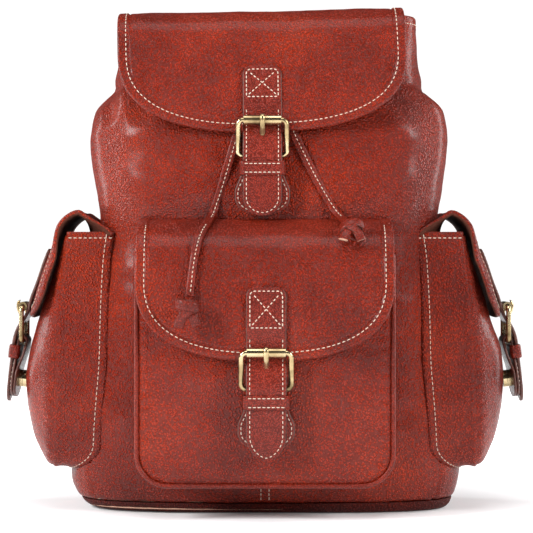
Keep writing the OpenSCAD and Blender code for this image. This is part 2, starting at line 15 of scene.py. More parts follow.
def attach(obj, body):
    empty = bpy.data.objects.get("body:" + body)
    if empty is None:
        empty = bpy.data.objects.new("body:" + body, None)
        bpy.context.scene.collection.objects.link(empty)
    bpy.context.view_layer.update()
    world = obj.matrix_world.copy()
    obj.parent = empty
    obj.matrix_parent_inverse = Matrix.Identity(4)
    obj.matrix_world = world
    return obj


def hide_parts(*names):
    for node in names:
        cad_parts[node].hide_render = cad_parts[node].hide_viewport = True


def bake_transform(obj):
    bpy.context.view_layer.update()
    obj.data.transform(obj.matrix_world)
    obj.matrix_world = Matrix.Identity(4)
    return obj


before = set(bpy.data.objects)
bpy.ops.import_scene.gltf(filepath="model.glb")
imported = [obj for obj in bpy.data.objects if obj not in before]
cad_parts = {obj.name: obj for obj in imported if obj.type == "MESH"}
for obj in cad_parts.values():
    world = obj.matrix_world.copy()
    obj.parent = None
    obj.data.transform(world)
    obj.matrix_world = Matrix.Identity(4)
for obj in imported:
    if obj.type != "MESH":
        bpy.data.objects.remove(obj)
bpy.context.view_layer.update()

MM = 0.001

# ---------------------------------------------------------------- camera and laces' routes

CAMERA_AT = (0.0012, -1.6, 0.197)
LENS = 130
SENSOR = 36


def add_camera():
    camera = bpy.data.objects.new("camera", bpy.data.cameras.new("camera"))
    bpy.context.collection.objects.link(camera)
    camera.location = CAMERA_AT
    camera.rotation_euler = (math.radians(90), 0, 0)
    camera.data.lens = LENS
    camera.data.sensor_width = SENSOR
    bpy.context.scene.camera = camera


add_camera()

LACE_W = 8
LACE_T = 2.2
# The same points as in the CAD source, then across the flap's crease to the knot.
LEFT_LACE = [
    (-12, -58.4, 337), (-13, -62.5, 332.5), (-16, -68.3, 323), (-20, -73.6, 309), (-24, -74.9, 296),
    (-30, -75.4, 275), (-36, -75.6, 255), (-40, -77, 243), (-41.5, -80.5, 238), (-43, -86.5, 235),
    (-46, -98.5, 229.6), (-49, -106.5, 224.6), (-52, -115.6, 216), (-55, -122.4, 201),
    (-57, -126, 183), (-58, -129, 174),
]
RIGHT_LACE = [
    (12, -58.4, 337), (13, -62.5, 332.5), (16, -68.3, 323), (20, -73.6, 309), (28, -75, 291),
    (38, -75.4, 271), (48, -75.8, 253), (54, -77.4, 243), (57, -81, 238.4), (60, -86.5, 235.4),
    (62.5, -95, 233), (64.5, -103, 230.5),
]
LEFT_KNOT = (-58.5, -138.5, 164)
RIGHT_KNOT = (67, -114.8, 225)

# ---------------------------------------------------------------- the bag's shape, as in the CAD

PLAN_POWER = 3.0
WIDTH = [(0, 146), (12, 157), (35, 160), (120, 152), (200, 141), (245, 137), (300, 147), (322, 142),
         (345, 127), (362, 124), (400, 123)]
DEPTH = [(0, 66), (12, 73), (35, 75), (120, 76), (200, 75), (245, 73), (300, 73), (322, 66),
         (345, 53), (362, 50), (400, 50)]
MIDDLE = [(0, 0), (300, 0), (322, 1), (345, 4), (362, 5), (400, 5)]
CORNER_ANGLE = 33.7
LEATHER = 2.6
RIM_H = 398
LEAN = 3.4
BASE_SEAM = 8.5

LID_PATH = [(60, 366), (60, 384), (58.6, 394), (55.2, 400), (50, 403.2), (30, 405.4), (0, 406),
            (-25, 405.5), (-46, 402), (-60, 394), (-67, 380), (-71.5, 362), (-75, 345), (-77.8, 330),
            (-79.6, 303)]
POCKET_PATH = [(-74.4, 234.6), (-80, 233.8), (-87, 231.7), (-92.2, 229.6), (-104, 224), (-114, 214),
               (-120.5, 200), (-124, 182), (-126, 160), (-126, 124)]
SIDE_PATH = [(-142, 222), (-143.4, 233), (-146.4, 239.4), (-150, 241.7), (-158, 238.8), (-165.5, 231.4),
             (-172, 219.5), (-177.5, 206), (-183, 191), (-187, 178), (-189.4, 168), (-191.6, 155)]
FLAP_T = 3.4

STRAP_LINE = [(0, 0), (-0.6, -10), (-1.6, -17.5), (-4.2, -26.5), (-8.2, -34.5), (-10.4, -44),
              (-10.6, -52), (-10.5, -70), (-10.4, -97)]
STRAP_W = 31
STRAP_T = 2.6
STRAP_COLUMNS = 46
PATCH_CORNER = 7
PADDLE_HALF = 22
BAR_AT = (-4, -45.5)


# ---------------------------------------------------------------- small mathematics


def eased(table, at):
    """A smooth curve through the table's points that doesn't overshoot, at each value of at."""
    x, y = np.array(table, float).T
    h, slope = np.diff(x), np.diff(y) / np.diff(x)
    m = np.zeros(len(x))
    same = slope[:-1] * slope[1:] > 0
    inner = np.zeros(len(slope) - 1)
    inner[same] = 2 * slope[:-1][same] * slope[1:][same] / (slope[:-1] + slope[1:])[same]
    m[1:-1], m[0], m[-1] = inner, slope[0], slope[-1]
    at = np.clip(np.asarray(at, float), x[0], x[-1])
    i = np.clip(np.searchsorted(x, at) - 1, 0, len(h) - 1)
    t = (at - x[i]) / h[i]
    return ((2 * t**3 - 3 * t**2 + 1) * y[i] + (t**3 - 2 * t**2 + t) * h[i] * m[i]
            + (3 * t**2 - 2 * t**3) * y[i + 1] + (t**3 - t**2) * h[i] * m[i + 1])


def spline(points, step):
    """Points about step apart on a smooth line through these, which may be 2D or 3D."""
    p = np.array(points, float)
    d = np.concatenate([[0], np.cumsum(np.linalg.norm(np.diff(p, axis=0), axis=1) ** 0.5)])
    n = len(p)
    h = np.diff(d)
    a = np.eye(n)
    rhs = np.zeros_like(p)
    for i in range(1, n - 1):
        a[i, i - 1:i + 2] = h[i - 1], 2 * (h[i - 1] + h[i]), h[i]
        rhs[i] = 6 * ((p[i + 1] - p[i]) / h[i] - (p[i] - p[i - 1]) / h[i - 1])
    m = np.linalg.solve(a, rhs)
    fine = np.linspace(0, d[-1], 40 * n)
    i = np.clip(np.searchsorted(d, fine) - 1, 0, n - 2)
    u, v, w = (fine - d[i])[:, None], (d[i + 1] - fine)[:, None], h[i][:, None]
    q = (m[i] * v**3 + m[i + 1] * u**3) / (6 * w) + (p[i] / w - m[i] * w / 6) * v \
        + (p[i + 1] / w - m[i + 1] * w / 6) * u
    return resample(q, step)


def arc(line):
    return np.concatenate([[0], np.cumsum(np.linalg.norm(np.diff(line, axis=0), axis=1))])


def resample(line, step):
    s = arc(line)
    at = np.linspace(0, s[-1], max(2, int(round(s[-1] / step)) + 1))
    return np.stack([np.interp(at, s, line[:, k]) for k in range(line.shape[1])], axis=1)


def unit(v):
    return v / np.maximum(np.linalg.norm(v, axis=-1, keepdims=True), 1e-12)


def step_between(x, low, high):
    t = np.clip((x - low) / (high - low), 0, 1)
    return t * t * (3 - 2 * t)


def bump_at(x, centre, width):
    return np.exp(-(((x - centre) / width) ** 2))


def rough(points, size, seed, octaves=2):
    """Smooth noise from -1 to 1 at each point, in patches about size millimetres across."""
    flat = np.asarray(points, float).reshape(-1, 3) / size + seed * 17.3
    values = [noise.fractal(Vector(p), 1.0, 2.1, octaves) for p in flat]
    return np.array(values).reshape(np.asarray(points).shape[:-1])


def turned(points, angle):
    """Face coordinates turned about Z by angle degrees."""
    p = np.asarray(points, float)
    c, s = math.cos(math.radians(angle)), math.sin(math.radians(angle))
    return np.stack([p[..., 0] * c - p[..., 1] * s, p[..., 0] * s + p[..., 1] * c, p[..., 2]], axis=-1)


def tipped(points, angle):
    """Points turned round the X axis by an angle in degrees."""
    p = np.asarray(points, float)
    c, s = math.cos(math.radians(angle)), math.sin(math.radians(angle))
    return np.stack([p[..., 0], p[..., 1] * c - p[..., 2] * s, p[..., 1] * s + p[..., 2] * c], axis=-1)


def spread(line, count):
    """The same line with another number of points, evenly shared out by index."""
    share = np.linspace(0, 1, count)
    return np.stack([np.interp(share, np.linspace(0, 1, len(line)), line[:, k]) for k in (0, 1)], axis=1)


def grid_normals(grid):
    return unit(np.cross(np.gradient(grid, axis=1), np.gradient(grid, axis=0)))


def clustered(length, coarse, fine, edge):
    """Places from 0 to length, coarse apart in the middle and fine apart within edge of the end."""
    inner = np.linspace(0, length - edge, max(2, int((length - edge) / coarse)) + 1)
    return np.concatenate([inner, np.linspace(length - edge, length, int(edge / fine) + 1)[1:]])


# ---------------------------------------------------------------- meshes


def add_mesh(name, points, faces, material, body=None, replaces=()):
    """A smooth mesh from points in millimetres. Its slot follows from its material."""
    mesh = bpy.data.meshes.new(name)
    mesh.from_pydata((np.asarray(points, float) * MM).tolist(), [], [list(map(int, f)) for f in faces])
    mesh.validate()
    mesh.shade_smooth()
    obj = bpy.data.objects.new(name, mesh)
    bpy.context.collection.objects.link(obj)
    mesh.materials.append(material)
    if body:
        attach(obj, body)
    if replaces:
        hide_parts(*replaces)
    return obj


def quads(rows, cols, start=0, flip=False, wrap=False):
    """Faces of a grid of points, counter-clockwise where rows go up and columns to the right."""
    i, j = np.meshgrid(np.arange(rows - 1), np.arange(cols if wrap else cols - 1), indexing="ij")
    a = start + i * cols + j
    b = start + i * cols + (j + 1) % cols
    f = np.stack([a, b, b + cols, a + cols], axis=-1).reshape(-1, 4)
    return (f[:, ::-1] if flip else f).tolist()


def sheet_mesh(outer, inner):
    """A closed sheet between two grids. outer faces the viewer with rows up and columns right."""
    rows, cols = outer.shape[:2]
    back = rows * cols
    ring = ([(0, j) for j in range(cols)] + [(i, cols - 1) for i in range(1, rows)]
            + [(rows - 1, j) for j in range(cols - 2, -1, -1)] + [(i, 0) for i in range(rows - 2, 0, -1)])
    ids = [i * cols + j for i, j in ring]
    rim = [[q, p, back + p, back + q] for p, q in zip(ids, ids[1:] + ids[:1])]
    faces = quads(rows, cols) + quads(rows, cols, back, flip=True) + rim
    return np.concatenate([outer.reshape(-1, 3), inner.reshape(-1, 3)]), faces


def sweep_frame(line, side):
    t = unit(np.gradient(line, axis=0))
    side = np.broadcast_to(np.asarray(side, float), line.shape)
    s = unit(side - (side * t).sum(1, keepdims=True) * t)
    return s, np.cross(t, s)


def sweep_mesh(line, sections, side, closed=False):
    """A tube along a line. sections is (points, 2) or one such for each point of the line."""
    s, n = sweep_frame(line, side)
    if closed:
        t = unit(np.roll(line, -1, axis=0) - np.roll(line, 1, axis=0))
        side = np.broadcast_to(np.asarray(side, float), line.shape)
        s = unit(side - (side * t).sum(1, keepdims=True) * t)
        n = np.cross(t, s)
    sec = np.asarray(sections, float)
    if sec.ndim == 2:
        sec = np.broadcast_to(sec, (len(line), *sec.shape))
    points = line[:, None] + sec[..., :1] * s[:, None] + sec[..., 1:] * n[:, None]
    rows, cols = points.shape[:2]
    if closed:
        points = np.concatenate([points, points[:1]])
        faces = quads(rows + 1, cols, wrap=True)
        faces = [[v % (rows * cols) for v in f] for f in faces]
        return points[:-1].reshape(-1, 3), faces
    faces = quads(rows, cols, wrap=True)
    faces += [list(range(cols))[::-1], [(rows - 1) * cols + j for j in range(cols)]]
    return points.reshape(-1, 3), faces


def circle(radius, count=16, squash=1.0):
    a = np.arange(count) * 2 * math.pi / count
    return np.stack([radius * np.cos(a), radius * squash * np.sin(a)], axis=1)


def join(parts):
    """One list of points and faces from several."""
    points, faces, start = [], [], 0
    for p, f in parts:
        points.append(np.asarray(p, float))
        faces += [[v + start for v in face] for face in f]
        start += len(p)
    return np.concatenate(points), faces


# ---------------------------------------------------------------- materials


class Nodes:
    """Short names for building a node tree."""

    def __init__(self, name):
        self.material = bpy.data.materials.new(name)
        self.material.use_nodes = True
        self.tree = self.material.node_tree
        self.shader = self.tree.nodes["Principled BSDF"]

    def add(self, kind, **values):
        node = self.tree.nodes.new(kind)
        for key, value in values.items():
            if hasattr(node, key) and key not in node.inputs:
                setattr(node, key, value)
            else:
                node.inputs[key].default_value = value
        return node

    def link(self, a, b):
        self.tree.links.new(a, b)

    def set(self, **values):
        """Constants on the shader's sockets, with _ for each space in a socket's name."""
        for key, value in values.items():
            self.shader.inputs[key.replace("_", " ")].default_value = value

    def feed(self, socket, value):
        """Links a value into one of the shader's sockets."""
        self.link(value, self.shader.inputs[socket])

    def coordinates(self, wobble=0.0, scale=60.0):
        where = self.add("ShaderNodeTexCoord").outputs["Object"]
        if not wobble:
            return where
        soft = self.add("ShaderNodeTexNoise", Scale=scale, Detail=2.0)
        self.link(where, soft.inputs["Vector"])
        mix = self.add("ShaderNodeVectorMath", operation="MULTIPLY_ADD")
        mix.inputs[1].default_value = (wobble,) * 3
        self.link(soft.outputs["Color"], mix.inputs[0])
        self.link(where, mix.inputs[2])
        return mix.outputs[0]

    def noise(self, where, scale, detail=3.0, roughness=0.55):
        node = self.add("ShaderNodeTexNoise", Scale=scale, Detail=detail, Roughness=roughness)
        self.link(where, node.inputs["Vector"])
        return node.outputs[0]

    def cells(self, where, scale, feature="SMOOTH_F1", softness=0.35):
        node = self.add("ShaderNodeTexVoronoi", feature=feature)
        node.inputs["Scale"].default_value = scale
        if feature == "SMOOTH_F1":
            node.inputs["Smoothness"].default_value = softness
        self.link(where, node.inputs["Vector"])
        return node.outputs["Distance"]

    def ramp(self, value, stops):
        node = self.add("ShaderNodeValToRGB")
        while len(node.color_ramp.elements) < len(stops):
            node.color_ramp.elements.new(0.5)
        for element, (place, color) in zip(node.color_ramp.elements, stops):
            element.position = place
            element.color = (*color, 1) if len(color) == 3 else color
        self.link(value, node.inputs[0])
        return node.outputs[0]

    def range(self, value, low, high, to_low, to_high):
        node = self.add("ShaderNodeMapRange")
        for key, number in zip(("From Min", "From Max", "To Min", "To Max"), (low, high, to_low, to_high)):
            node.inputs[key].default_value = number
        self.link(value, node.inputs["Value"])
        return node.outputs[0]

    def mix(self, a, b, factor, mode="MIX"):
        node = self.add("ShaderNodeMix", data_type="RGBA", blend_type=mode)
        for value, socket in ((factor, node.inputs[0]), (a, node.inputs[6]), (b, node.inputs[7])):
            if isinstance(value, (int, float)):
                socket.default_value = value
            elif isinstance(value, tuple):
                socket.default_value = (*value, 1)
            else:
                self.link(value, socket)
        return node.outputs[2]

    def sum(self, a, b, weight=1.0):
        node = self.add("ShaderNodeMath", operation="MULTIPLY_ADD")
        self.link(b, node.inputs[0])
        node.inputs[1].default_value = weight
        self.link(a, node.inputs[2])
        return node.outputs[0]

    def bump(self, height, distance, strength=1.0):
        node = self.add("ShaderNodeBump", Strength=strength, Distance=distance)
        self.link(height, node.inputs["Height"])
        self.link(node.outputs[0], self.shader.inputs["Normal"])


def grey(value):
    return (value,) * 3


def pebbled_leather(name, dark, middle, light, grain=540.0, depth=0.0014, gloss=(0.26, 0.4), coat=0.14):
    """Tumbled leather: domed pebbles with painted shade in the gaps between them and in the dips of the broad
    creases, in patches of tone.
    """
    n = Nodes(name)
    plain = n.coordinates()
    where = n.coordinates(wobble=0.0012, scale=210.0)
    pebbles = n.range(n.cells(where, grain, softness=0.12), 0.05, 0.55, 1.0, 0.0)
    small = n.range(n.cells(where, grain * 2.1, softness=0.2), 0.1, 0.6, 1.0, 0.0)
    creases = n.noise(plain, 70.0, detail=6.0, roughness=0.62)
    patches = n.noise(plain, 13.0, detail=4.0)
    tone = n.ramp(patches, [(0.3, dark), (0.5, middle), (0.72, light)])
    # Painted shade: darker in the gaps between the pebbles and a little lighter on their domes.
    shade = n.ramp(pebbles, [(0.0, grey(0.28)), (0.35, grey(0.85)), (1.0, grey(1.12))])
    tone = n.mix(tone, shade, 0.85, "MULTIPLY")
    # Painted shade in the dips of the crease bump, with lighter burnish on the raised parts between them.
    crease_shade_and_burnish = n.ramp(creases, [(0.35, grey(0.72)), (0.6, grey(1.08))])
    tone = n.mix(tone, crease_shade_and_burnish, 0.4, "MULTIPLY")
    n.feed("Base Color", tone)
    n.feed("Roughness", n.range(n.sum(creases, pebbles, -0.35), 0.0, 0.6, gloss[0], gloss[1]))
    n.set(Specular_IOR_Level=0.2, Coat_Weight=coat, Coat_Roughness=0.2)
    height = n.sum(n.sum(pebbles, small, 0.22), creases, 0.35)
    n.bump(height, depth)
    return n.material


def edge_paint_material():
    """The dark paint on the cut edges of the straps."""
    n = Nodes("edge_paint")
    wear = n.noise(n.coordinates(), 380.0, detail=4.0)
    n.feed("Base Color", n.ramp(wear, [(0.35, (0.045, 0.01, 0.005)), (0.7, (0.1, 0.022, 0.011))]))
    n.set(Roughness=0.45)
    n.bump(wear, 0.0001)
    return n.material


def thread_material():
    """Waxed off-white thread with a fine twist."""
    n = Nodes("waxed_thread")
    where = n.coordinates()
    twist = n.noise(where, 2600.0, detail=2.0)
    tone = n.ramp(twist, [(0.3, (0.44, 0.34, 0.26)), (0.7, (0.68, 0.57, 0.47))])
    n.feed("Base Color", tone)
    n.set(Roughness=0.6)
    n.bump(twist, 0.0002)
    return n.material


def brass_material():
    """Antique brass: yellow where it is rubbed, brown where the patina is left."""
    n = Nodes("antique_brass")
    where = n.coordinates()
    patina = n.noise(where, 70.0, detail=4.0, roughness=0.5)
    scratches = n.noise(where, 1400.0, detail=3.0)
    tone = n.ramp(patina, [(0.3, (0.2, 0.14, 0.07)), (0.45, (0.42, 0.31, 0.16)), (0.65, (0.62, 0.49, 0.29))])
    n.feed("Base Color", tone)
    n.set(Metallic=1.0)
    n.feed("Roughness", n.range(patina, 0.3, 0.7, 0.34, 0.2))
    n.bump(n.sum(scratches, patina, 0.5), 0.00001)
    return n.material


def raw_edge_material():
    """The cut edge and flesh side of the leather: pale, fibrous and dull."""
    n = Nodes("raw_leather")
    where = n.coordinates()
    fibres = n.noise(where, 900.0, detail=5.0, roughness=0.7)
    tone = n.ramp(fibres, [(0.3, (0.3, 0.14, 0.09)), (0.7, (0.55, 0.34, 0.24))])
    n.feed("Base Color", tone)
    n.set(Roughness=0.85)
    n.bump(fibres, 0.0003)
    return n.material


def suede_material():
    """The brushed inner side of the flaps: dark, matt and a little furry."""
    n = Nodes("suede")
    nap = n.noise(n.coordinates(), 700.0, detail=5.0, roughness=0.7)
    n.feed("Base Color", n.ramp(nap, [(0.3, (0.045, 0.012, 0.007)), (0.7, (0.1, 0.028, 0.016))]))
    n.set(Roughness=0.95, Specular_IOR_Level=0.15)
    n.bump(nap, 0.0003)
    return n.material


def lining_material():
    """A plain woven cotton lining."""
    n = Nodes("cotton_lining")
    where = n.coordinates()
    weave = [n.add("ShaderNodeTexWave", wave_type="BANDS", bands_direction=axis, Scale=320.0)
             for axis in "XZ"]
    for wave in weave:
        n.link(where, wave.inputs["Vector"])
    height = n.sum(weave[0].outputs["Fac"], weave[1].outputs["Fac"], 1.0)
    patches = n.noise(where, 30.0)
    n.feed("Base Color", n.ramp(patches, [(0.3, (0.19, 0.12, 0.08)), (0.7, (0.3, 0.2, 0.13))]))
    n.set(Roughness=0.9, Sheen_Weight=0.3)
    n.bump(height, 0.0002)
    return n.material


BODY_LEATHER = pebbled_leather("pebbled_leather", (0.19, 0.011, 0.0022), (0.3, 0.0185, 0.0035),
                               (0.42, 0.032, 0.0065))
STRAP_LEATHER = pebbled_leather("strap_leather", (0.17, 0.0105, 0.0025), (0.24, 0.015, 0.0035),
                                (0.32, 0.022, 0.0055), grain=820.0, depth=0.0005, gloss=(0.24, 0.38))
# A darker, duller copy of the body leather for the base: painted shade that stands in for the shadow along
# the bag's foot.
SHADED_BASE_LEATHER = pebbled_leather("base_leather_painted_shade", (0.08, 0.005, 0.002), (0.12, 0.008, 0.003),
                               (0.17, 0.012, 0.004), gloss=(0.55, 0.7), coat=0.0)
EDGE_PAINT = edge_paint_material()
THREAD = thread_material()
BRASS = brass_material()
RAW = raw_edge_material()
LINING = lining_material()
SUEDE = suede_material()

# ---------------------------------------------------------------- stitching

STITCH_LONG = 3.2
STITCH_PITCH = 4.1
STITCH_WIDE = 0.75


class Stitching:
    """Collects runs of stitches that ride on one body, and makes one piece of them."""

    def __init__(self, name, body):
        self.name, self.body, self.parts = name, body, []

    def run(self, line, normal, pitch=STITCH_PITCH, long=STITCH_LONG, wide=STITCH_WIDE):
        """Stitches along a line that lie on a surface with these normals."""
        line, normal = np.asarray(line, float), np.broadcast_to(np.asarray(normal, float), np.shape(line))
        s = arc(line)
        count = int(s[-1] / pitch)
        if count < 1:
            return
        start = (s[-1] - count * pitch + (pitch - long)) / 2
        ring = circle(1.0, 6)
        for k in range(count):
            at = start + k * pitch + long * np.linspace(0, 1, 6)
            p = np.stack([np.interp(at, s, line[:, a]) for a in range(3)], axis=1)
            n = unit(np.stack([np.interp(at, s, normal[:, a]) for a in range(3)], axis=1))
            swell = np.array([0.45, 0.9, 1.0, 1.0, 0.9, 0.45])
            lift = np.array([-0.3, 0.1, 0.24, 0.24, 0.1, -0.3])
            middle = p + n * lift[:, None]
            t = unit(np.gradient(middle, axis=0))
            side = unit(np.cross(t, n))
            points = (middle[:, None] + ring[None, :, :1] * side[:, None] * (wide / 2 * swell)[:, None, None]
                      + ring[None, :, 1:] * n[:, None] * (wide / 2.6 * swell)[:, None, None])
            faces = quads(6, 6, wrap=True) + [[5, 4, 3, 2, 1, 0], [30, 31, 32, 33, 34, 35]]
            self.parts.append((points.reshape(-1, 3), faces))

    def make(self):
        if self.parts:
            points, faces = join(self.parts)
            add_mesh(self.name, points, faces, THREAD, body=self.body)


# ---------------------------------------------------------------- body

COLUMN_STEP = 3.0
FOOT_ROLL = 25.0
FOOT_DEEP = 14.0
FOOT_LOPSIDED = 5.0


def plan_angles(from_angle, to_angle, step):
    """Angles of the squared outline whose points are about step apart along it."""
    dense = np.linspace(from_angle, to_angle, 3000)
    p = plan_point(dense, 120.0, 0.0)[:, :2]
    s = arc(p)
    return np.interp(np.linspace(0, s[-1], max(3, int(s[-1] / step) + 1)), s, dense)


def plan_point(angle, z, grow):
    """A point of the body's outline at height z, in face coordinates, moved outward by grow."""
    angle, z = np.broadcast_arrays(np.radians(np.asarray(angle, float)), np.asarray(z, float))
    c, s = np.cos(angle), np.sin(angle)
    power = 2 / PLAN_POWER
    x = (eased(WIDTH, z) + grow) * np.sign(c) * np.abs(c) ** power
    y = eased(MIDDLE, z) + (eased(DEPTH, z) + grow) * np.sign(s) * np.abs(s) ** power
    return np.stack([x, y, z], axis=-1)


def body_depth(x, z):
    """How far the body's front stands out at x and z."""
    ratio = np.minimum(0.999, np.abs(x) / eased(WIDTH, z))
    return eased(DEPTH, z) * (1 - ratio**PLAN_POWER) ** (1 / PLAN_POWER) - eased(MIDDLE, z)


def body_reach(y, z):
    """How far the body's side stands out at y and z."""
    ratio = np.minimum(0.999, np.abs(y) / eased(DEPTH, z))
    return eased(WIDTH, z) * (1 - ratio**PLAN_POWER) ** (1 / PLAN_POWER)


def folds(points):
    """How far soft leather stands off its smooth shape: sag, ripples and folds below the neck."""
    x, y, z = points[..., 0], points[..., 1], points[..., 2]
    broad = 1.7 * rough(points, 90.0, 1) * step_between(z, 15, 60)
    ripple = 0.55 * rough(points * [1, 1, 1.6], 26.0, 2, 3)
    fuller = 3.4 * bump_at(z, 256, 24) + 2.6 * bump_at(z, 340, 12)
    gather = step_between(z, 290, 335) * (1 - step_between(z, 366, 392))
    angle = np.degrees(np.arctan2(y, x))
    pleats = 1.3 * np.sin(np.radians(angle * 19) + 2.2 * rough(points, 70.0, 3)) * gather
    side = step_between(np.abs(x), 90, 125)
    pinch = -3.4 * side * bump_at(z + 0.1 * (np.abs(x) - 120), 344, 6.0)
    lobe = 2.2 * side * bump_at(z, 322, 14.0)
    front = step_between(-y, -25, 5)
    dimple = np.exp(-((x + 130) / 8) ** 2 - ((z - 325 - 0.7 * (x + 130)) / 13) ** 2) * front
    ridge = np.exp(-((x + 116) / 6) ** 2 - ((z - 328) / 20) ** 2) * front
    crease = np.exp(-((x - 133) / 5) ** 2 - ((z - 341) / 8) ** 2) * front
    return broad + ripple + fuller + pleats + pinch + lobe - 8.0 * dimple + 2.6 * ridge - 2.4 * crease


def tuck(z, angle):
    """How far the outline draws in where the leather rolls under, most of all at the bag's left."""
    low = np.clip((FOOT_ROLL - z) / FOOT_ROLL, 0, 1)
    deep = FOOT_DEEP - FOOT_LOPSIDED * np.cos(np.radians(angle))
    return -deep * (1 - np.sqrt(1 - low**2))


def leaned(points):
    """The soft body leans a little to its right above the pockets."""
    z = points[..., 2]
    shift = LEAN * step_between(z, 165, 250) * (1 - 0.3 * step_between(z, 340, 370))
    return points + np.stack([shift, 0 * z, 0 * z], axis=-1)


def ring_normals(grid):
    """Outward directions of a grid whose columns close on themselves."""
    padded = np.concatenate([grid[:, -2:], grid, grid[:, :2]], axis=1)
    return grid_normals(padded)[:, 2:-2]


def add_body():
    """The four panels sewn into one soft shell, with grooves where their low seams run."""
    angles = plan_angles(-180, 180, COLUMN_STEP)[:-1]
    heights = np.concatenate([np.arange(BASE_SEAM, 24, 1.2), np.arange(24, RIM_H - 6, 3.0),
                              np.linspace(RIM_H - 6, RIM_H, 7)])
    a, z = np.meshgrid(angles, heights)
    outer = plan_point(a, z, tuck(z, a))
    normal = ring_normals(outer)
    middle = outer[40]
    around = arc(middle)
    seams = [np.interp(at, angles, around) for at in
             (-180 + CORNER_ANGLE, -CORNER_ANGLE, CORNER_ANGLE, 180 - CORNER_ANGLE)]
    seam = np.min([np.abs(around - at) for at in seams], axis=0)[None, :]
    lift = folds(outer)
    low_seam = 1 - step_between(z, 215, 250)
    lift += low_seam * (0.5 * bump_at(seam, 4.0, 2.2) - 1.1 * np.exp(-((seam / 1.6) ** 2)))
    low = z - BASE_SEAM
    lift += 0.3 * bump_at(low, 4.0, 2.5) - 0.6 * np.exp(-((low / 1.2) ** 2))
    top = RIM_H - z
    lift += -1.0 * np.exp(-((top / 0.9) ** 2)) + 0.5 * (1 - step_between(top, 9.0, 10.5))
    outer = outer + normal * lift[..., None]
    raise_right = 4.5 * step_between(outer[..., 0], 60, 112) * step_between(z, 370, RIM_H)
    outer = leaned(outer + np.stack([0 * z, 0 * z, raise_right], axis=-1))
    inner = outer - normal * (LEATHER - 0.3)
    rows, cols = outer.shape[:2]
    back = rows * cols
    faces = quads(rows, cols, wrap=True) + quads(rows, cols, back, flip=True, wrap=True)
    end = (rows - 1) * cols
    for j in range(cols):
        k = (j + 1) % cols
        faces.append([end + j, end + k, back + end + k, back + end + j])
        faces.append([k, j, back + j, back + k])
    points = np.concatenate([outer.reshape(-1, 3), inner.reshape(-1, 3)])
    add_mesh("body_shell", points, faces, BODY_LEATHER, "root",
             ("front_panel", "back_panel", "left_side_panel", "right_side_panel"))
    row = np.searchsorted(heights, RIM_H - 7.5)
    hem = Stitching("rim_stitches", "root")
    hem.run(outer[row], normal[row])
    hem.make()


def add_base():
    """The base panel: a rolled edge that tucks under to a flat bottom, below the seam."""
    angles = plan_angles(-180, 180, 3.0)[:-1]
    high = BASE_SEAM - 0.1
    heights = high * (1 - np.sin(np.radians(np.linspace(0, 90, 10))))
    rows = [(high + 0.1, -3.2), (high, -1.0)]
    rows += [(z, -0.6 * math.exp(-((high - z) / 1.2) ** 2)) for z in heights]
    rows += [(0.0, -inset) for inset in (9.0, 24.0, 40.0)]
    grid = np.stack([plan_point(angles, 11.0, grow + tuck(z, angles)) * [1, 1, 0] + [0, 0, z]
                     for z, grow in rows[::-1]])
    faces = quads(len(rows), len(angles), wrap=True)
    faces.append(list(range(len(angles)))[::-1])
    top = (len(rows) - 1) * len(angles)
    faces.append([top + j for j in range(len(angles))])
    # The base wears the darker leather: painted shade along the bag's foot.
    add_mesh("base_shell", grid.reshape(-1, 3), faces, SHADED_BASE_LEATHER, "root", ("base_panel",))


def add_lining():
    """The lining that shows inside the neck."""
    angles = plan_angles(-180, 180, 5.0)[:-1]
    heights = np.array([9.4, 20, 60, 120, 200, 245, 285, 300, 311, 322, 334, 345, 362, 380, 394])
    slack = [LEATHER + 1.5 + 7.0 * math.exp(-((z - 338) / 24) ** 2) for z in heights]
    outer = np.stack([leaned(plan_point(angles, z, -gap)) for z, gap in zip(heights, slack)])
    inner = np.stack([leaned(plan_point(angles, max(z, 10.6), -gap - 0.8)) for z, gap in zip(heights, slack)])
    rows, cols = outer.shape[:2]
    back = rows * cols
    faces = quads(rows, cols, wrap=True) + quads(rows, cols, back, flip=True, wrap=True)
    top = (rows - 1) * cols
    for j in range(cols):
        k = (j + 1) % cols
        faces.append([top + j, top + k, back + top + k, back + top + j])
    faces += [list(range(cols))[::-1], [back + j for j in range(cols)]]
    points = np.concatenate([outer.reshape(-1, 3), inner.reshape(-1, 3)])
    add_mesh("lining_shell", points, faces, LINING, "root", ("main_lining",))


# ---------------------------------------------------------------- flaps

BAND_W = 8.0
BAND_STITCH = 6.9
BAND_LIFT = 0.9


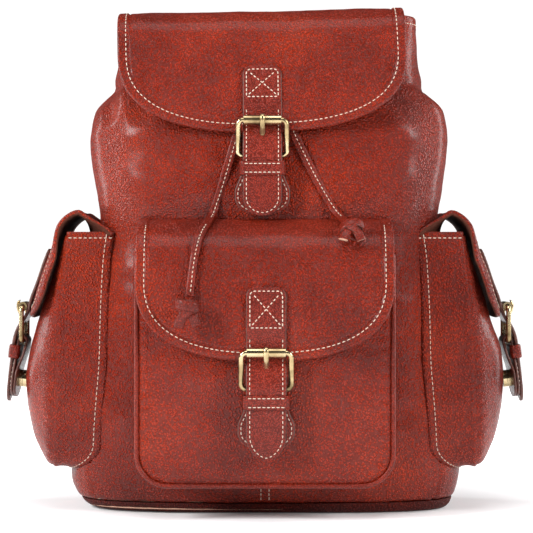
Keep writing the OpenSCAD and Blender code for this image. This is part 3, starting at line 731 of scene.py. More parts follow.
class Flap:
    """A flap that hangs over an edge: a profile, swept across, cut to a U and bound round its rim."""

    def __init__(self, name, path, strip_points, half_w, straight, power, turn=0, skew=0.0, lean=0.0):
        self.name, self.half_w, self.power, self.turn = name, half_w, power, turn
        self.skew, self.lean = skew, lean
        self.line = spline(path, 0.5)
        self.s = arc(self.line)
        crease = np.array(path[strip_points])
        self.crease = self.s[np.argmin(np.linalg.norm(self.line - crease, axis=1))]
        straight_at = np.argmin(np.abs(self.line[:, 1] - straight) + 1000 * (self.s < self.crease))
        self.straight = self.s[straight_at]
        self.long = self.s[-1]
        direction = unit(np.gradient(self.line, axis=0))
        self.out = np.stack([direction[:, 1], -direction[:, 0]], axis=1)

    def slant(self, points):
        """Leans the flap: its top moves aside and one side hangs a little higher."""
        x, z = points[..., 0], points[..., 2]
        low = self.line[-1, 1]
        return points + np.stack([-self.lean * (z - low), 0 * x, self.skew * x], axis=-1)

    def border(self, u):
        """Where the flap ends for a share u of its half width, measured along the profile."""
        inside = np.maximum(0, 1 - np.abs(u) ** self.power)
        return self.straight + (self.long - self.straight) * inside ** (1 / self.power)

    def at(self, x, s, lift=0.0):
        """A point of the flap's face, in face coordinates, and its outward direction."""
        x, s, lift = np.broadcast_arrays(np.asarray(x, float), np.asarray(s, float), np.asarray(lift, float))
        y = np.interp(s, self.s, self.line[:, 0])
        z = np.interp(s, self.s, self.line[:, 1])
        n = unit(np.stack([np.interp(s, self.s, self.out[:, k]) for k in (0, 1)], axis=-1))
        point = np.stack([x, y + n[..., 0] * lift, z + n[..., 1] * lift], axis=-1)
        return point, np.stack([np.zeros_like(x), n[..., 0], n[..., 1]], axis=-1)

    def rim(self, count=400):
        """The rim as points across and along: down one side, round the end and up the other."""
        t = np.radians(np.linspace(0, 180, count))
        x = self.half_w * np.sign(np.cos(t)) * np.abs(np.cos(t)) ** (2 / self.power)
        s = self.straight + (self.long - self.straight) * np.sin(t) ** (2 / self.power)
        sides = np.linspace(self.crease, self.straight, 60)[:-1]
        x = np.concatenate([np.full(59, self.half_w), x, np.full(59, -self.half_w)])
        return np.stack([x, np.concatenate([sides, s, sides[::-1]])], axis=1)

    def rim_distance(self, x, s):
        rim = self.rim(700)
        start = np.stack([np.full(40, self.half_w), np.linspace(0, self.crease, 40)], axis=1)
        rim = np.concatenate([start, rim, start * [-1, 1]])
        flat = np.stack([x.ravel(), s.ravel()], axis=1)
        best = np.full(len(flat), np.inf)
        a, b = rim[:-1], rim[1:]
        for p, q in zip(a, b):
            d = q - p
            long = d @ d
            if long < 1e-9 or abs(d[0]) > self.half_w:
                continue
            t = np.clip((flat - p) @ d / long, 0, 1)
            best = np.minimum(best, np.linalg.norm(flat - p - t[:, None] * d, axis=1))
        return best.reshape(x.shape)

    def inset(self, distance, count=400):
        """A line on the face that runs at a distance from the rim."""
        rim = self.rim(count)
        t = unit(np.gradient(rim, axis=0))
        line = rim + distance * np.stack([-t[:, 1], t[:, 0]], axis=1)
        keep = np.abs(line[:, 0]) <= self.half_w - distance + 0.05
        return resample(line[keep], 1.0)


def flap_columns(flap):
    """Places across the flap, as shares of its half width, closer together towards its sides."""
    t = np.radians(np.linspace(0, 90, 40))
    share = np.cos(t) ** (2 / flap.power)
    share = np.unique(np.concatenate([share, np.linspace(0, 1, int(flap.half_w / 2.4))]).round(4))
    return np.concatenate([-share[::-1], share[1:]])


def flap_sag(flap, point, s, seed):
    """Soft swells and dips of a flap, growing from its crease."""
    sag = 1.5 * rough(point, 70.0, seed) + 0.45 * rough(point, 24.0, seed + 1, 3)
    sag *= step_between(s, flap.crease * 0.6, flap.crease + 30)
    return sag


def add_flap(flap, body, nodes, seed, foot, waves, blend):
    """The flap and the strip that it hangs from, as one skin over the crease."""
    u = flap_columns(flap)
    strip = np.linspace(0, flap.crease, 14)[:-1]
    end = flap.border(u)
    share = clustered(1.0, 0.026, 0.0075, 0.13)
    s = np.concatenate([np.repeat(strip[:, None], len(u), axis=1),
                        flap.crease + share[:, None] * (end - flap.crease)[None, :]])
    x = np.repeat((u * flap.half_w)[None, :], len(s), axis=0)
    distance = flap.rim_distance(x, s)
    point, normal = flap.at(x, s)
    lift = flap_sag(flap, point, s, seed) + waves(x, s, flap)
    bound = BAND_LIFT * (1 - step_between(distance, BAND_W - 0.4, BAND_W + 0.4))
    groove = -0.8 * bump_at(distance, BAND_W + 0.8, 0.8) - 0.3 * bump_at(distance, BAND_STITCH, 0.7)
    edge = 1.6 - np.sqrt(np.maximum(0, 1.6**2 - (1.6 - np.minimum(distance, 1.6)) ** 2))
    outer, _ = flap.at(x, s, lift + bound + groove - edge)
    inner, _ = flap.at(x, s, lift - FLAP_T + edge)
    fade = (1 - step_between(s, 0, flap.crease * 0.9))[..., None]
    shift = np.stack([0 * x, foot(x) - flap.line[0, 0], 0 * x], axis=-1)
    outer, inner = outer + fade * shift, inner + fade * shift
    outer, inner = (turned(flap.slant(g), flap.turn) for g in (outer, inner))
    points, faces = sheet_mesh(outer[::-1], inner[::-1])
    obj = add_mesh(flap.name, points, faces, BODY_LEATHER, None, (*nodes, "flap_hinge_strips"))
    obj.data.materials.append(SUEDE)
    half = (len(s) - 1) * (len(u) - 1)
    for polygon in obj.data.polygons:
        if half <= polygon.index < 2 * half:
            polygon.material_index = 1
    start, end_point = (turned(np.array([0, *p], float), flap.turn) * MM for p in blend)
    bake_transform(obj)
    line = flap.inset(BAND_STITCH)
    where, out = flap.at(line[:, 0], line[:, 1], BAND_LIFT - 0.3)
    plain, _ = flap.at(line[:, 0], line[:, 1])
    soft = flap_sag(flap, plain, line[:, 1], seed)
    where = where + out * (soft + waves(line[:, 0], line[:, 1], flap))[:, None]
    where = flap.slant(where)
    stitches = Stitching(flap.name + "_stitches", body)
    stitches.run(turned(where, flap.turn), turned(out, flap.turn))
    stitches.make()


def lid_waves(x, s, flap):
    down = step_between(s, flap.crease + 110, flap.long)
    return 1.2 * np.sin(x / 23.0 + 0.8) * down - 1.5 * down * (np.abs(x) / flap.half_w) ** 3


def pocket_waves(x, s, flap):
    down = step_between(s, flap.crease + 20, flap.long)
    return 0.8 * np.sin(x / 19.0 + 2.0) * down - 2.0 * down * (np.abs(x) / flap.half_w) ** 4


def side_waves(x, s, flap):
    down = step_between(s, flap.crease + 15, flap.long)
    hug = -7.0 * (np.abs(x) / flap.half_w) ** 4 * step_between(s, flap.crease + 18, flap.crease + 50)
    return 0.7 * np.sin(x / 15.0 + 1.0) * down + hug


LID = Flap("main_flap_shell", LID_PATH, 4, 115, 368, 2.5, skew=0.022, lean=0.036)
POCKET_FLAP = Flap("pocket_flap_shell", POCKET_PATH, 3, 100, 188, 2.5)
RIGHT_FLAP = Flap("right_flap_shell", SIDE_PATH, 3, 52, 185, 3.0, turn=90)
LEFT_FLAP = Flap("left_flap_shell", SIDE_PATH, 3, 52, 185, 3.0, turn=-90)


def add_flaps():
    add_flap(LID, "main_flap", ("main_flap",), 11, lambda x: -body_depth_back(x), lid_waves,
             ((54.5, 397.5), (45.5, 404.5)))
    add_flap(POCKET_FLAP, "pocket_flap", ("pocket_flap",), 21, lambda x: -body_depth(x, 234.0) - 1.5,
             pocket_waves, ((-89, 228.5), (-97, 228)))
    for flap, body in ((RIGHT_FLAP, "right_flap"), (LEFT_FLAP, "left_flap")):
        add_flap(flap, body, (body,), 31, lambda x: -body_reach(x, 224.0) - 2.5,
                 side_waves, ((-147.4, 238), (-154, 241)))


def body_depth_back(x):
    """Minus how far the body's back stands out where the lid's strip is sewn on."""
    across = np.minimum(0.999, np.abs(x) / 124)
    return -(eased(DEPTH, 366.0) * (1 - across**PLAN_POWER) ** (1 / PLAN_POWER) + 9.0)


# ---------------------------------------------------------------- ribbons and closures


THIN_EDGE = 0.12
LOOP_R = 3.4
LOOP_STEPS = 13
TAB_FRONT = -7.4
KEEPER_Z = -55.0
KEEPER_HALF = 5.4
KEEPER_STITCH = 3.4
PADDLE_LOW = -77.5
PADDLE_ROUND = 15.2


def bar_loop():
    """The fold of a tab round the lower bar, from its front to its back, as (y, z)."""
    turns = np.radians(np.linspace(180, 0, LOOP_STEPS))
    return [(BAR_AT[0] + LOOP_R * math.cos(a), BAR_AT[1] + LOOP_R * math.sin(a)) for a in turns]


def strap_section(half_w, half_t, groove=2.6, depth=0.28, rim=0.9):
    """Half widths become a closed section: rounded edges and a creased line along each side."""
    half_w = max(half_w, 0.6)
    inner = max(0.0, half_w - 1.0)
    u = np.concatenate([[-1, -0.985, -0.955], np.linspace(-0.9, 0.9, 17), [0.955, 0.985, 1]]) * half_w
    d = half_w - np.abs(u)
    plain = half_t - (rim - np.sqrt(np.maximum(0, rim**2 - (rim - np.minimum(d, rim)) ** 2)))
    plain = np.maximum(plain, THIN_EDGE)
    h = plain + 0.10 * bump_at(u, 0, inner + 0.1) - depth * bump_at(d, groove, 0.7)
    top = np.stack([u, h], axis=1)
    bottom = np.stack([u[::-1], -plain[::-1]], axis=1)
    return np.concatenate([top[::-1], bottom[::-1]])


class Ribbon:
    """A flat strap along a line in face coordinates, with a width that may change."""

    def __init__(self, line, half_width, half_t, side=(1, 0, 0)):
        self.line, self.half_t = np.asarray(line, float), half_t
        self.s = arc(self.line)
        self.side, self.normal = sweep_frame(self.line, side)
        self.half = np.array([half_width(s) for s in self.s]) if callable(half_width) \
            else np.full(len(self.s), float(half_width))

    def mesh(self):
        sections = [strap_section(w, self.half_t) for w in self.half]
        return sweep_mesh(self.line, sections, self.side)

    def at(self, u, s, lift=0.0):
        u, s = np.broadcast_arrays(np.asarray(u, float), np.asarray(s, float))
        pick = [np.stack([np.interp(s, self.s, g[:, k]) for k in range(3)], axis=-1)
                for g in (self.line, self.side, self.normal)]
        return pick[0] + u[..., None] * pick[1] + (self.half_t + lift) * pick[2], pick[2]


class Place:
    """Where a closure is: its hinge in face coordinates, its lean and the turn of its face."""

    def __init__(self, at, lean, turn):
        self.at, self.lean, self.turn = np.array(at, float), lean, turn

    def face(self, p):
        """Local closure coordinates into face coordinates."""
        return tipped(p, self.lean) + self.at

    def world(self, p):
        return turned(self.face(p), self.turn)

    def out(self):
        return self.world((0, -1, 0)) - self.world((0, 0, 0))


class Closure:
    """A closure: its place, its patch's height, and its strap's end, point length and roundness."""

    def __init__(self, place, patch, end, tip, power):
        self.place, self.patch, self.end, self.tip, self.power = place, patch, end, tip, power


def point_width(half_w, long, tip, power):
    """Half width along a strap whose last part comes to a point: power 0.5 makes it round."""
    def width(s):
        near = np.clip((s - (long - tip)) / tip, 0, 1)
        return half_w * (1 - near**2) ** power
    return width


EDGE_COLUMNS = (0, 1, 20, 21, 22, 23, 24, 43, 44, 45)


def paint_edges(obj, columns, edge_columns, material):
    """Gives the cut edges of a ribbon their own material."""
    obj.data.materials.append(material)
    for polygon in obj.data.polygons:
        if len(polygon.vertices) == 4 and polygon.index % columns in edge_columns:
            polygon.material_index = 1


def strap_outline(ribbon, from_s, inset, tip, power):
    """A stitch line down one edge of a strap, round its point and up the other edge."""
    long = ribbon.s[-1]
    point = long - tip + tip * np.sin(np.linspace(0, np.pi / 2, 60))
    s = np.concatenate([np.arange(from_s, long - tip, 1.0), point])
    width = point_width(STRAP_W / 2, long, tip, power)
    edge = np.stack([np.array([width(v) for v in s]), s], axis=1)
    out = unit(np.gradient(edge, axis=0))
    line = edge - inset * np.stack([out[:, 1], -out[:, 0]], axis=1)
    line = line[(line[:, 0] > 0.2) & (np.gradient(line[:, 1]) > -0.2)]
    whole = np.concatenate([line, line[::-1] * [-1, 1]])
    return resample(whole, 0.8)


def add_strap(name, flap, closure, body, flap_body, node):
    """The closure strap: sewn to the flap by its X-stitched patch, then hanging to its point."""
    place, tip, power = closure.place, closure.tip, closure.power
    hang = flap.s > flap.crease
    patch = [flap.slant(flap.at(place.at[0], np.interp(-z, -flap.line[hang][:, 1], flap.s[hang]), 2.0)[0])
             for z in (place.at[2] + closure.patch, place.at[2] + closure.patch * 0.55, place.at[2] + 3)]
    patch = np.array(patch)
    patch[:, 0] = place.at[0] - 0.4 * flap.lean * (patch[:, 2] - place.at[2])
    hanging = [(0, y, z) for y, z in STRAP_LINE[1:-1]] + [(0, STRAP_LINE[-1][0], closure.end)]
    line = spline(np.concatenate([patch, place.face(hanging)]), 0.9)
    long = arc(line)[-1]
    pointed = point_width(STRAP_W / 2, long, tip, power)

    def width(s):
        if s < PATCH_CORNER:
            return STRAP_W / 2 - PATCH_CORNER + math.sqrt(PATCH_CORNER**2 - (PATCH_CORNER - s) ** 2)
        return pointed(s)

    ribbon = Ribbon(line, width, STRAP_T / 2)
    points, faces = ribbon.mesh()
    obj = add_mesh(name, turned(points, place.turn), faces, STRAP_LEATHER, None, (node,))
    paint_edges(obj, STRAP_COLUMNS, EDGE_COLUMNS, EDGE_PAINT)
    start, end = (turned(place.face((0, 0, z)), place.turn) * MM for z in (3, -6))
    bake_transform(obj)
    hinge_s = ribbon.s[np.argmin(np.abs(line[:, 2] - place.at[2]))]
    box = Stitching(name + "_box_stitches", flap_body)
    half, top, low = STRAP_W / 2 - 3.0, 3.0, hinge_s - 1.5
    corner = 3.5
    bend = [(half - corner + corner * math.sin(a), top + corner - corner * math.cos(a))
            for a in np.radians(np.linspace(0, 90, 6))]
    left_bend = [(-x, s) for x, s in bend[::-1]]
    for path in ([(-half, low), *left_bend, *bend, (half, low)], [(-half, low), (half, low)],
                 [(-half + 2, top + 2), (half - 0.6, low - 0.8)],
                 [(half - 2, top + 2), (-half + 0.6, low - 0.8)]):
        flat = resample(np.array(path, float), 1.0)
        where, out = ribbon.at(flat[:, 0], flat[:, 1], -0.1)
        box.run(turned(where, place.turn), turned(out, place.turn), pitch=3.5, long=2.8, wide=0.9)
    box.make()
    edges = Stitching(name + "_edge_stitches", body)
    flat = strap_outline(ribbon, hinge_s + 6.5, 2.9, tip, power)
    where, out = ribbon.at(flat[:, 0], flat[:, 1], -0.12)
    edges.run(turned(where, place.turn), turned(out, place.turn), pitch=3.7, long=2.8)
    edges.make()
    add_prong_hole_shade(name + "_hole", ribbon, hinge_s, place, body)


def add_prong_hole_shade(name, ribbon, hinge_s, place, body):
    """A dark disc where the prong's hole is, set just below the roller: painted shade for the hole's depth,
    with the cut edge's dark paint at its rim.
    """
    turns = np.radians(np.arange(0, 360, 15))
    rings = []
    for radius, lift in ((2.9, 0.02), (2.5, 0.12), (0.4, 0.1)):
        where, _ = ribbon.at(radius * np.cos(turns), hinge_s + 27.2 + radius * 1.1 * np.sin(turns), lift)
        rings.append(where)
    grid = np.stack(rings)
    faces = quads(3, len(turns), wrap=True) + [[2 * len(turns) + k for k in range(len(turns))]]
    # Painted shade: the dark disc stands in for the depth of the hole.
    obj = add_mesh(name, turned(grid.reshape(-1, 3), place.turn), faces, EDGE_PAINT, body)
    outward = place.out()
    if np.array(obj.data.polygons[-1].normal) @ outward < 0:
        obj.data.flip_normals()


def add_tab(name, closure, body, node):
    """The snap tab: two layers folded round the lower bar, a stitched paddle below and the keeper."""
    place = closure.place
    front = [(TAB_FRONT, z) for z in np.linspace(-92.5, -50, 20)]
    back = [(-0.7, -50), (-1.6, -56), (-3.2, -63), (-4.7, -70), (-5.0, -75), (-5.0, -92.5)]
    folded = np.array(front + bar_loop() + back)
    line = spline(np.stack([0 * folded[:, 0], folded[:, 0], folded[:, 1]], axis=1), 0.9)

    def half_at(z):
        neck = 13.6 + 2.9 * step_between(-z, 48, 52) + 1.2 * step_between(-z, 60.5, 62)
        flare = neck + (PADDLE_HALF - 17.7) * step_between(-z, 61, 74)
        low = max(0.0, min(1.0, (PADDLE_LOW - z) / PADDLE_ROUND))
        return flare * (1 - low**2.3) ** 0.5

    ribbon = Ribbon(line, 1.0, 1.05)
    ribbon.half = np.array([half_at(z) for z in line[:, 2]])
    points, faces = ribbon.mesh()
    obj = add_mesh(name, place.world(points), faces, STRAP_LEATHER, body, (node,))
    paint_edges(obj, STRAP_COLUMNS, EDGE_COLUMNS, EDGE_PAINT)
    stitches = Stitching(name + "_stitches", body)
    round_z = PADDLE_LOW - PADDLE_ROUND * np.sin(np.linspace(0, np.pi / 2, 60))
    z = np.concatenate([np.linspace(-61.5, -77, 20), round_z])
    edge = np.stack([np.array([half_at(v) for v in z]), z], axis=1)
    out = unit(np.gradient(edge, axis=0))
    inset = edge + 2.7 * np.stack([out[:, 1], -out[:, 0]], axis=1)
    inset = inset[(inset[:, 0] > 0.3) & (inset[:, 0] < edge[:, 0] + 0.01)]
    whole = np.concatenate([inset, inset[::-1] * [-1, 1]])
    path = np.stack([whole[:, 0], np.full(len(whole), TAB_FRONT - 1.0), whole[:, 1]], axis=1)
    path = resample(path, 0.8)
    stitches.run(place.world(path), place.out(), pitch=3.7, long=2.8)
    stitches.make()
    add_keeper(name + "_keeper", place, body)
    return obj


def add_keeper(name, place, body):
    """The loop that holds the strap's end down, with a row of stitches along each edge."""
    half_w, front, back, round_r = 17.5, -13.1, -5.4, 2.6
    ring = []
    for (cx, cy), a0 in zip([(-half_w + round_r, back - round_r), (-half_w + round_r, front + round_r),
                             (half_w - round_r, front + round_r), (half_w - round_r, back - round_r)],
                            (90, 180, 270, 0)):
        ring += [(cx + round_r * math.cos(a), cy + round_r * math.sin(a))
                 for a in (math.radians(a0 + k) for k in range(0, 91, 15))]
    ring = np.array(ring)
    dense = resample(np.concatenate([ring, ring[:1]]), 1.2)[:-1]
    line = np.stack([dense[:, 0], dense[:, 1], np.full(len(dense), KEEPER_Z)], axis=1)
    u = np.array([-KEEPER_HALF, -5.1, -4.2, -3.0, -1.5, 0, 1.5, 3.0, 4.2, 5.1, KEEPER_HALF])
    h = 0.8 - 0.5 * (np.abs(u) / KEEPER_HALF) ** 8 - 0.18 * bump_at(np.abs(u), KEEPER_STITCH, 0.6)
    section = np.concatenate([np.stack([u, h], axis=1), np.stack([u[::-1], -h[::-1]], axis=1)])
    points, faces = sweep_mesh(line, section, (0, 0, 1), closed=True)
    obj = add_mesh(name, place.world(points), faces, STRAP_LEATHER, body)
    obj.data.flip_normals()
    stitches = Stitching(name + "_stitches", body)
    for z in (KEEPER_Z - KEEPER_STITCH, KEEPER_Z + KEEPER_STITCH):
        x = np.arange(-half_w + 3, half_w - 2.9, 1.0)
        path = np.stack([x, np.full(len(x), front - 0.72), np.full(len(x), z)], axis=1)
        stitches.run(place.world(path), place.out(), pitch=3.6, long=2.8, wide=0.8)
    stitches.make()


def add_prong(name, place, body, node):
    """The prong: a coiled ring round the bar and a tapering arm that lies over the roller."""
    bar = np.array([0, *BAR_AT], float)
    ring = circle(1.0, 24)
    coil = np.stack([0 * ring[:, 0], bar[1] + 2.85 * ring[:, 0], bar[2] + 2.85 * ring[:, 1]], axis=1)
    flat = [(2.4 * math.cos(a), 0.62 * math.sin(a)) for a in np.radians(np.arange(0, 360, 22.5))]
    parts = [sweep_mesh(coil, np.array(flat), (1, 0, 0), closed=True)]
    arm = spline([(0, -4.6, -42.8), (0, -4.8, -37), (0, -5.0, -31.5), (0, -7.6, -27), (0, -11.0, -22.6),
                  (0, -12.7, -18), (0, -12.5, -14.6), (0, -11.3, -12.8)], 0.7)
    share = np.linspace(0, 1, len(arm))
    wide = 2.1 - 0.2 * share
    thick = 1.25 - 0.1 * share - 0.85 * np.maximum(0, share - 0.93) / 0.07
    sections = [np.array([(w * math.cos(a), h * math.sin(a)) for a in np.radians(np.arange(0, 360, 22.5))])
                for w, h in zip(wide, thick)]
    parts.append(sweep_mesh(arm, sections, (1, 0, 0)))
    points, faces = join([(place.world(p), f) for p, f in parts])
    add_mesh(name, points, faces, BRASS, body, (node,))


CLOSURES = {
    "main": Closure(Place((-2, -80.1, 330), 2.8, 0), 25.7, -93, 15, 0.5),
    "pocket": Closure(Place((1, -127.6, 149), 4.1, 0), 31.7, -100.5, 20, 0.6),
    "right": Closure(Place((0, -190.6, 180.5), -7, 90), 30, -97, 17, 0.65),
    "left": Closure(Place((0, -190.6, 180.5), -7, -90), 30, -97, 17, 0.65),
}
FLAPS = {"main": LID, "pocket": POCKET_FLAP, "right": RIGHT_FLAP, "left": LEFT_FLAP}


def dress_metal(*names):
    """Carries CAD metal over: rounded edges and the brass."""
    for name in names:
        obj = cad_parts[name]
        bevel = obj.modifiers.new("soft_edges", "BEVEL")
        bevel.width = 0.0004
        bevel.segments = 2
        bevel.limit_method = "ANGLE"
        obj.data.materials.clear()
        obj.data.materials.append(BRASS)


def add_closures():
    for key, closure in CLOSURES.items():
        body = key + "_closure"
        add_strap(key + "_strap_leather", FLAPS[key], closure, body, key + "_flap", key + "_strap")
        add_tab(key + "_tab_leather", closure, body, key + "_tab")
        add_prong(key + "_prong_metal", closure.place, key + "_prong", key + "_prong")
        dress_metal(key + "_frame", key + "_roller", key + "_stud")
    dress_metal("snap_sockets", "neck_eyelets", "shoulder_buckle_frames", "left_shoulder_roller",
                "right_shoulder_roller")


# ---------------------------------------------------------------- pockets

POCKET_FACE = [(28, 113), (40, 116), (72, 119.2), (130, 120.5), (160, 120), (190, 117), (205, 113.5)]
SIDE_FACE = [(34, 175), (45, 184), (62, 191.5), (85, 196), (105, 197), (125, 194.6), (145, 189.2), (165, 183),
             (185, 176.6), (205, 169.4), (222, 162.5)]
SIDE_SEAM = [(34, 172), (90, 171), (150, 168.5), (190, 164.5), (222, 160.5)]


def seam_line(half_w, top, bottom, corner, step=2.0):
    """Down the left side of a pocket, round two corners and up the right side, as (x, z)."""
    a = np.radians(np.arange(180, 271, 7.5))
    left = np.stack([-half_w + corner + corner * np.cos(a), bottom + corner + corner * np.sin(a)], axis=1)
    b = np.radians(np.arange(270, 361, 7.5))
    right = np.stack([half_w - corner + corner * np.cos(b), bottom + corner + corner * np.sin(b)], axis=1)
    return resample(np.concatenate([[(-half_w, top)], left, right, [(half_w, top)]]), step)


def add_pocket_face(name, node, face, seam, half_w, bottom, top, corner, thickness, turn, seed):
    """A pocket's face: bulged, rounded at its lower corners and rolled in at its seam."""
    heights = np.concatenate([bottom + corner * (1 - np.cos(np.radians(np.linspace(0, 90, 16)))),
                              np.linspace(bottom + corner, top, int((top - bottom - corner) / 2.6))[1:]])
    share = np.sin(np.radians(np.linspace(-90, 90, int(half_w / 1.3))))
    u, z = np.meshgrid(share, heights)
    low = np.maximum(0, bottom + corner - z)
    reach = half_w - corner + np.sqrt(np.maximum(0, corner**2 - low**2))
    rim = eased(seam, z)
    bulge = (1 - np.abs(u) ** 3.2)
    x = u * reach
    y = -rim - (eased(face, z) - rim) * bulge
    point = np.stack([x, y, z], axis=-1)
    outline = seam_line(half_w, top + 30, bottom, corner, 1.5)
    flat = np.stack([x.ravel(), z.ravel()], axis=1)
    distance = np.min(np.linalg.norm(flat[:, None] - outline[None], axis=2), axis=1).reshape(x.shape)
    lift = 1.3 * rough(point, 60.0, seed) + 0.5 * rough(point, 22.0, seed + 1, 3)
    lift = lift * step_between(distance, 2, 16)
    lift += 0.7 * bump_at(distance, 5.0, 2.6) - 1.2 * np.exp(-((distance / 1.6) ** 2))
    pucker = 0.28 * np.sin(np.arctan2(z - (bottom + top) / 2, x) * 60) * bump_at(distance, 5, 4)
    lift += pucker
    normal = grid_normals(point)
    normal[normal[..., 1] > 0] *= -1
    outer = point + normal * lift[..., None]
    inner = outer - normal * (thickness - 0.3)
    points, faces = sheet_mesh(outer, inner)
    add_mesh(name, turned(points, turn), faces, BODY_LEATHER, "root", (node,))


def add_gusset(name, node, near, far, thickness, turn, seed):
    """The strip that joins a pocket's face to the body. near and far are its two edges."""
    rows = 14
    t = np.linspace(0, 1, rows)[:, None, None]
    outer = near[None] * (1 - t) + far[None] * t
    along = np.gradient(outer, axis=1)
    across = np.gradient(outer, axis=0)
    normal = unit(np.cross(along, across))
    centre = outer.mean(axis=(0, 1))
    outward = ((outer - centre) * normal).sum(axis=-1).mean()
    if outward < 0:
        normal = -normal
    hollow = np.sin(np.pi * t[..., 0])
    lift = hollow * (0.8 * rough(outer, 40.0, seed) - 1.0) + 0.4 * bump_at(t[..., 0], 0.9, 0.05)
    skin = outer + normal * lift[..., None]
    inner = skin - normal * thickness
    points, faces = sheet_mesh(skin, inner)
    obj = add_mesh(name, turned(points, turn), faces, BODY_LEATHER, "root", (node,))
    recalculate(obj)
    return skin, normal


def recalculate(obj):
    """Makes every face of a closed mesh point outward."""
    bm = bmesh.new()
    bm.from_mesh(obj.data)
    bmesh.ops.recalc_face_normals(bm, faces=bm.faces)
    bm.to_mesh(obj.data)
    bm.free()


def add_front_pocket():
    half_w, flare, bottom, top, corner, edge = 98.5, 6.5, 28, 207, 24, 112.4
    add_pocket_face("pocket_face_shell", "pocket_panel", POCKET_FACE, [(0, edge), (400, edge)],
                    half_w, bottom, 205, corner, 2.4, 0, 41)
    rim = seam_line(half_w, top, bottom, corner)
    foot = seam_line(half_w + flare, top, bottom - flare / 2, corner + flare)
    foot = spread(resample(foot, 2.0), len(rim))
    near = np.stack([foot[:, 0], -body_depth(foot[:, 0], foot[:, 1]) - 0.6, foot[:, 1]], axis=1)
    far = np.stack([rim[:, 0], np.full(len(rim), -edge + 1.2), rim[:, 1]], axis=1)
    add_gusset("pocket_gusset_shell", "pocket_gusset", near, far, 2.2, 0, 43)
    welt = seam_line(half_w + 0.9, 206, bottom - 0.9, corner + 0.9, 1.6)
    line = np.stack([welt[:, 0], np.full(len(welt), -edge + 0.5), welt[:, 1]], axis=1)
    points, faces = sweep_mesh(line, circle(1.9, 14), (0, 1, 0))
    obj = add_mesh("pocket_welt_leather", points, faces, STRAP_LEATHER, "root", ("pocket_welt",))
    recalculate(obj)
    tacks = Stitching("pocket_stitches", "root")
    for sign in (-1, 1):
        for drop in (0, 3.4):
            x = sign * np.linspace(half_w - 13, half_w - 3, 12)
            tacks.run(np.stack([x, np.full(12, -edge - 0.9), np.full(12, 196 - drop)], axis=1), (0, -1, 0),
                      pitch=3.6, long=2.7)
    for x in (-3.2, 3.2):
        z = np.linspace(10.5, 22, 12)
        depth = body_depth(x, z)
        tacks.run(np.stack([np.full(12, x), -depth - 0.5, z], axis=1), (0, -1, 0), pitch=3.4, long=2.6)
    tacks.make()


def add_side_pocket(side, turn):
    half_w, bottom, top, corner = 50, 34, 222, 20
    add_pocket_face(side + "_pocket_face_shell", side + "_pocket_panel", SIDE_FACE, SIDE_SEAM,
                    half_w, bottom, top, corner, 2.4, turn, 51)
    rim = seam_line(half_w, top + 3, bottom, corner)
    foot = seam_line(half_w + 1.0, top + 3, bottom - 1.0, corner + 1.0)
    foot = spread(foot, len(rim))
    foot[:, 0] += np.sign(foot[:, 0]) * 6.5 * (1 - step_between(foot[:, 1], 110, 215)) \
        * step_between(np.abs(foot[:, 0]), 20, 50)
    near = np.stack([foot[:, 0], -body_reach(foot[:, 0], foot[:, 1]) - 0.6, foot[:, 1]], axis=1)
    far = np.stack([rim[:, 0], -eased(SIDE_SEAM, rim[:, 1]) + 0.8, rim[:, 1]], axis=1)
    skin, normal = add_gusset(side + "_pocket_gusset_shell", side + "_pocket_gusset",
                              near, far, 2.2, turn, 53)
    stitches = Stitching(side + "_pocket_stitches", "root")
    stitches.run(turned(skin[2], turn), turned(normal[2], turn))
    for column in (1, -2):
        mouth = skin[:, column]
        stitches.run(turned(mouth + [0, 0, -3.0], turn), turned(normal[:, column], turn))
    stitches.make()


# ---------------------------------------------------------------- laces


KNOT_COLUMNS = 18
KNOT_EDGES = (17, 0, 8, 9)


def knot_parts(centre, lean, flip):
    """An overhand knot in a flat lace: a wrapping band, a band across it and two cut ends."""
    centre = np.array(centre, float)
    turns = np.radians(np.arange(0, 360, 7.5))

    def band(radius_x, radius_y, tilt, half, thick, raise_z=0.0):
        loop = np.stack([radius_x * np.cos(turns), -radius_y * np.sin(turns),
                         math.tan(math.radians(tilt)) * radius_x * np.cos(turns) + raise_z], axis=1)
        ring = np.array([(half * math.copysign(abs(math.cos(a)) ** 0.6, math.cos(a)), thick * math.sin(a))
                         for a in np.radians(np.arange(0, 360, 20))])
        return sweep_mesh(loop, ring, (0, 0, 1), closed=True)

    parts = [band(8.2, 5.6, -10 * flip, 4.2, 1.5, 3.2), band(6.4, 4.6, 38 * flip, 3.6, 1.4, -1.0)]
    ends = []
    for side, drop in ((-1, 13.5), (1, 12.0)):
        path = spline([(side * 1.5, -2.0, 0), (side * 3.6, -3.4, -4.5), (side * 5.4, -3.0, -8.5),
                       (side * 7.0, -2.0 - side * flip, -drop)], 0.9)
        flat = np.array([(3.7 * math.copysign(abs(math.cos(a)) ** 0.5, math.cos(a)), 1.15 * math.sin(a))
                         for a in np.radians(np.arange(0, 360, 20))])
        ends.append(sweep_mesh(path, flat, (1, 0, 0.35 * side)))

    def placed(part):
        return tipped(part[0], lean) + centre, part[1]

    return [placed(part) for part in parts], [placed(part) for part in ends]


def lace_mesh(line):
    u = np.linspace(-1, 1, 9)
    half = LACE_W / 2 - 0.2
    top = np.stack([u * half, LACE_T / 2 * (1 - np.abs(u) ** 6 * 0.6) - 0.3 * bump_at(u, 0.35, 0.14)], axis=1)
    section = np.concatenate([top[::-1], np.stack([u, 0 * u], axis=1) * [half, 0] - [0, LACE_T / 2 - 0.25]])
    s = arc(line)
    twist = 0.16 * np.sin(s / 21.0) + 0.1 * np.sin(s / 9.0 + 1)
    c, d = np.cos(twist), np.sin(twist)
    narrow = 1 - 0.13 * (0.5 + 0.5 * np.sin(s / 13.0))
    x, y = section.T
    sections = np.stack([np.stack([x * a * w - y * b, x * b * w + y * a], axis=1)
                         for a, b, w in zip(c, d, narrow)])
    return sweep_mesh(line, sections, (1, 0, 0))


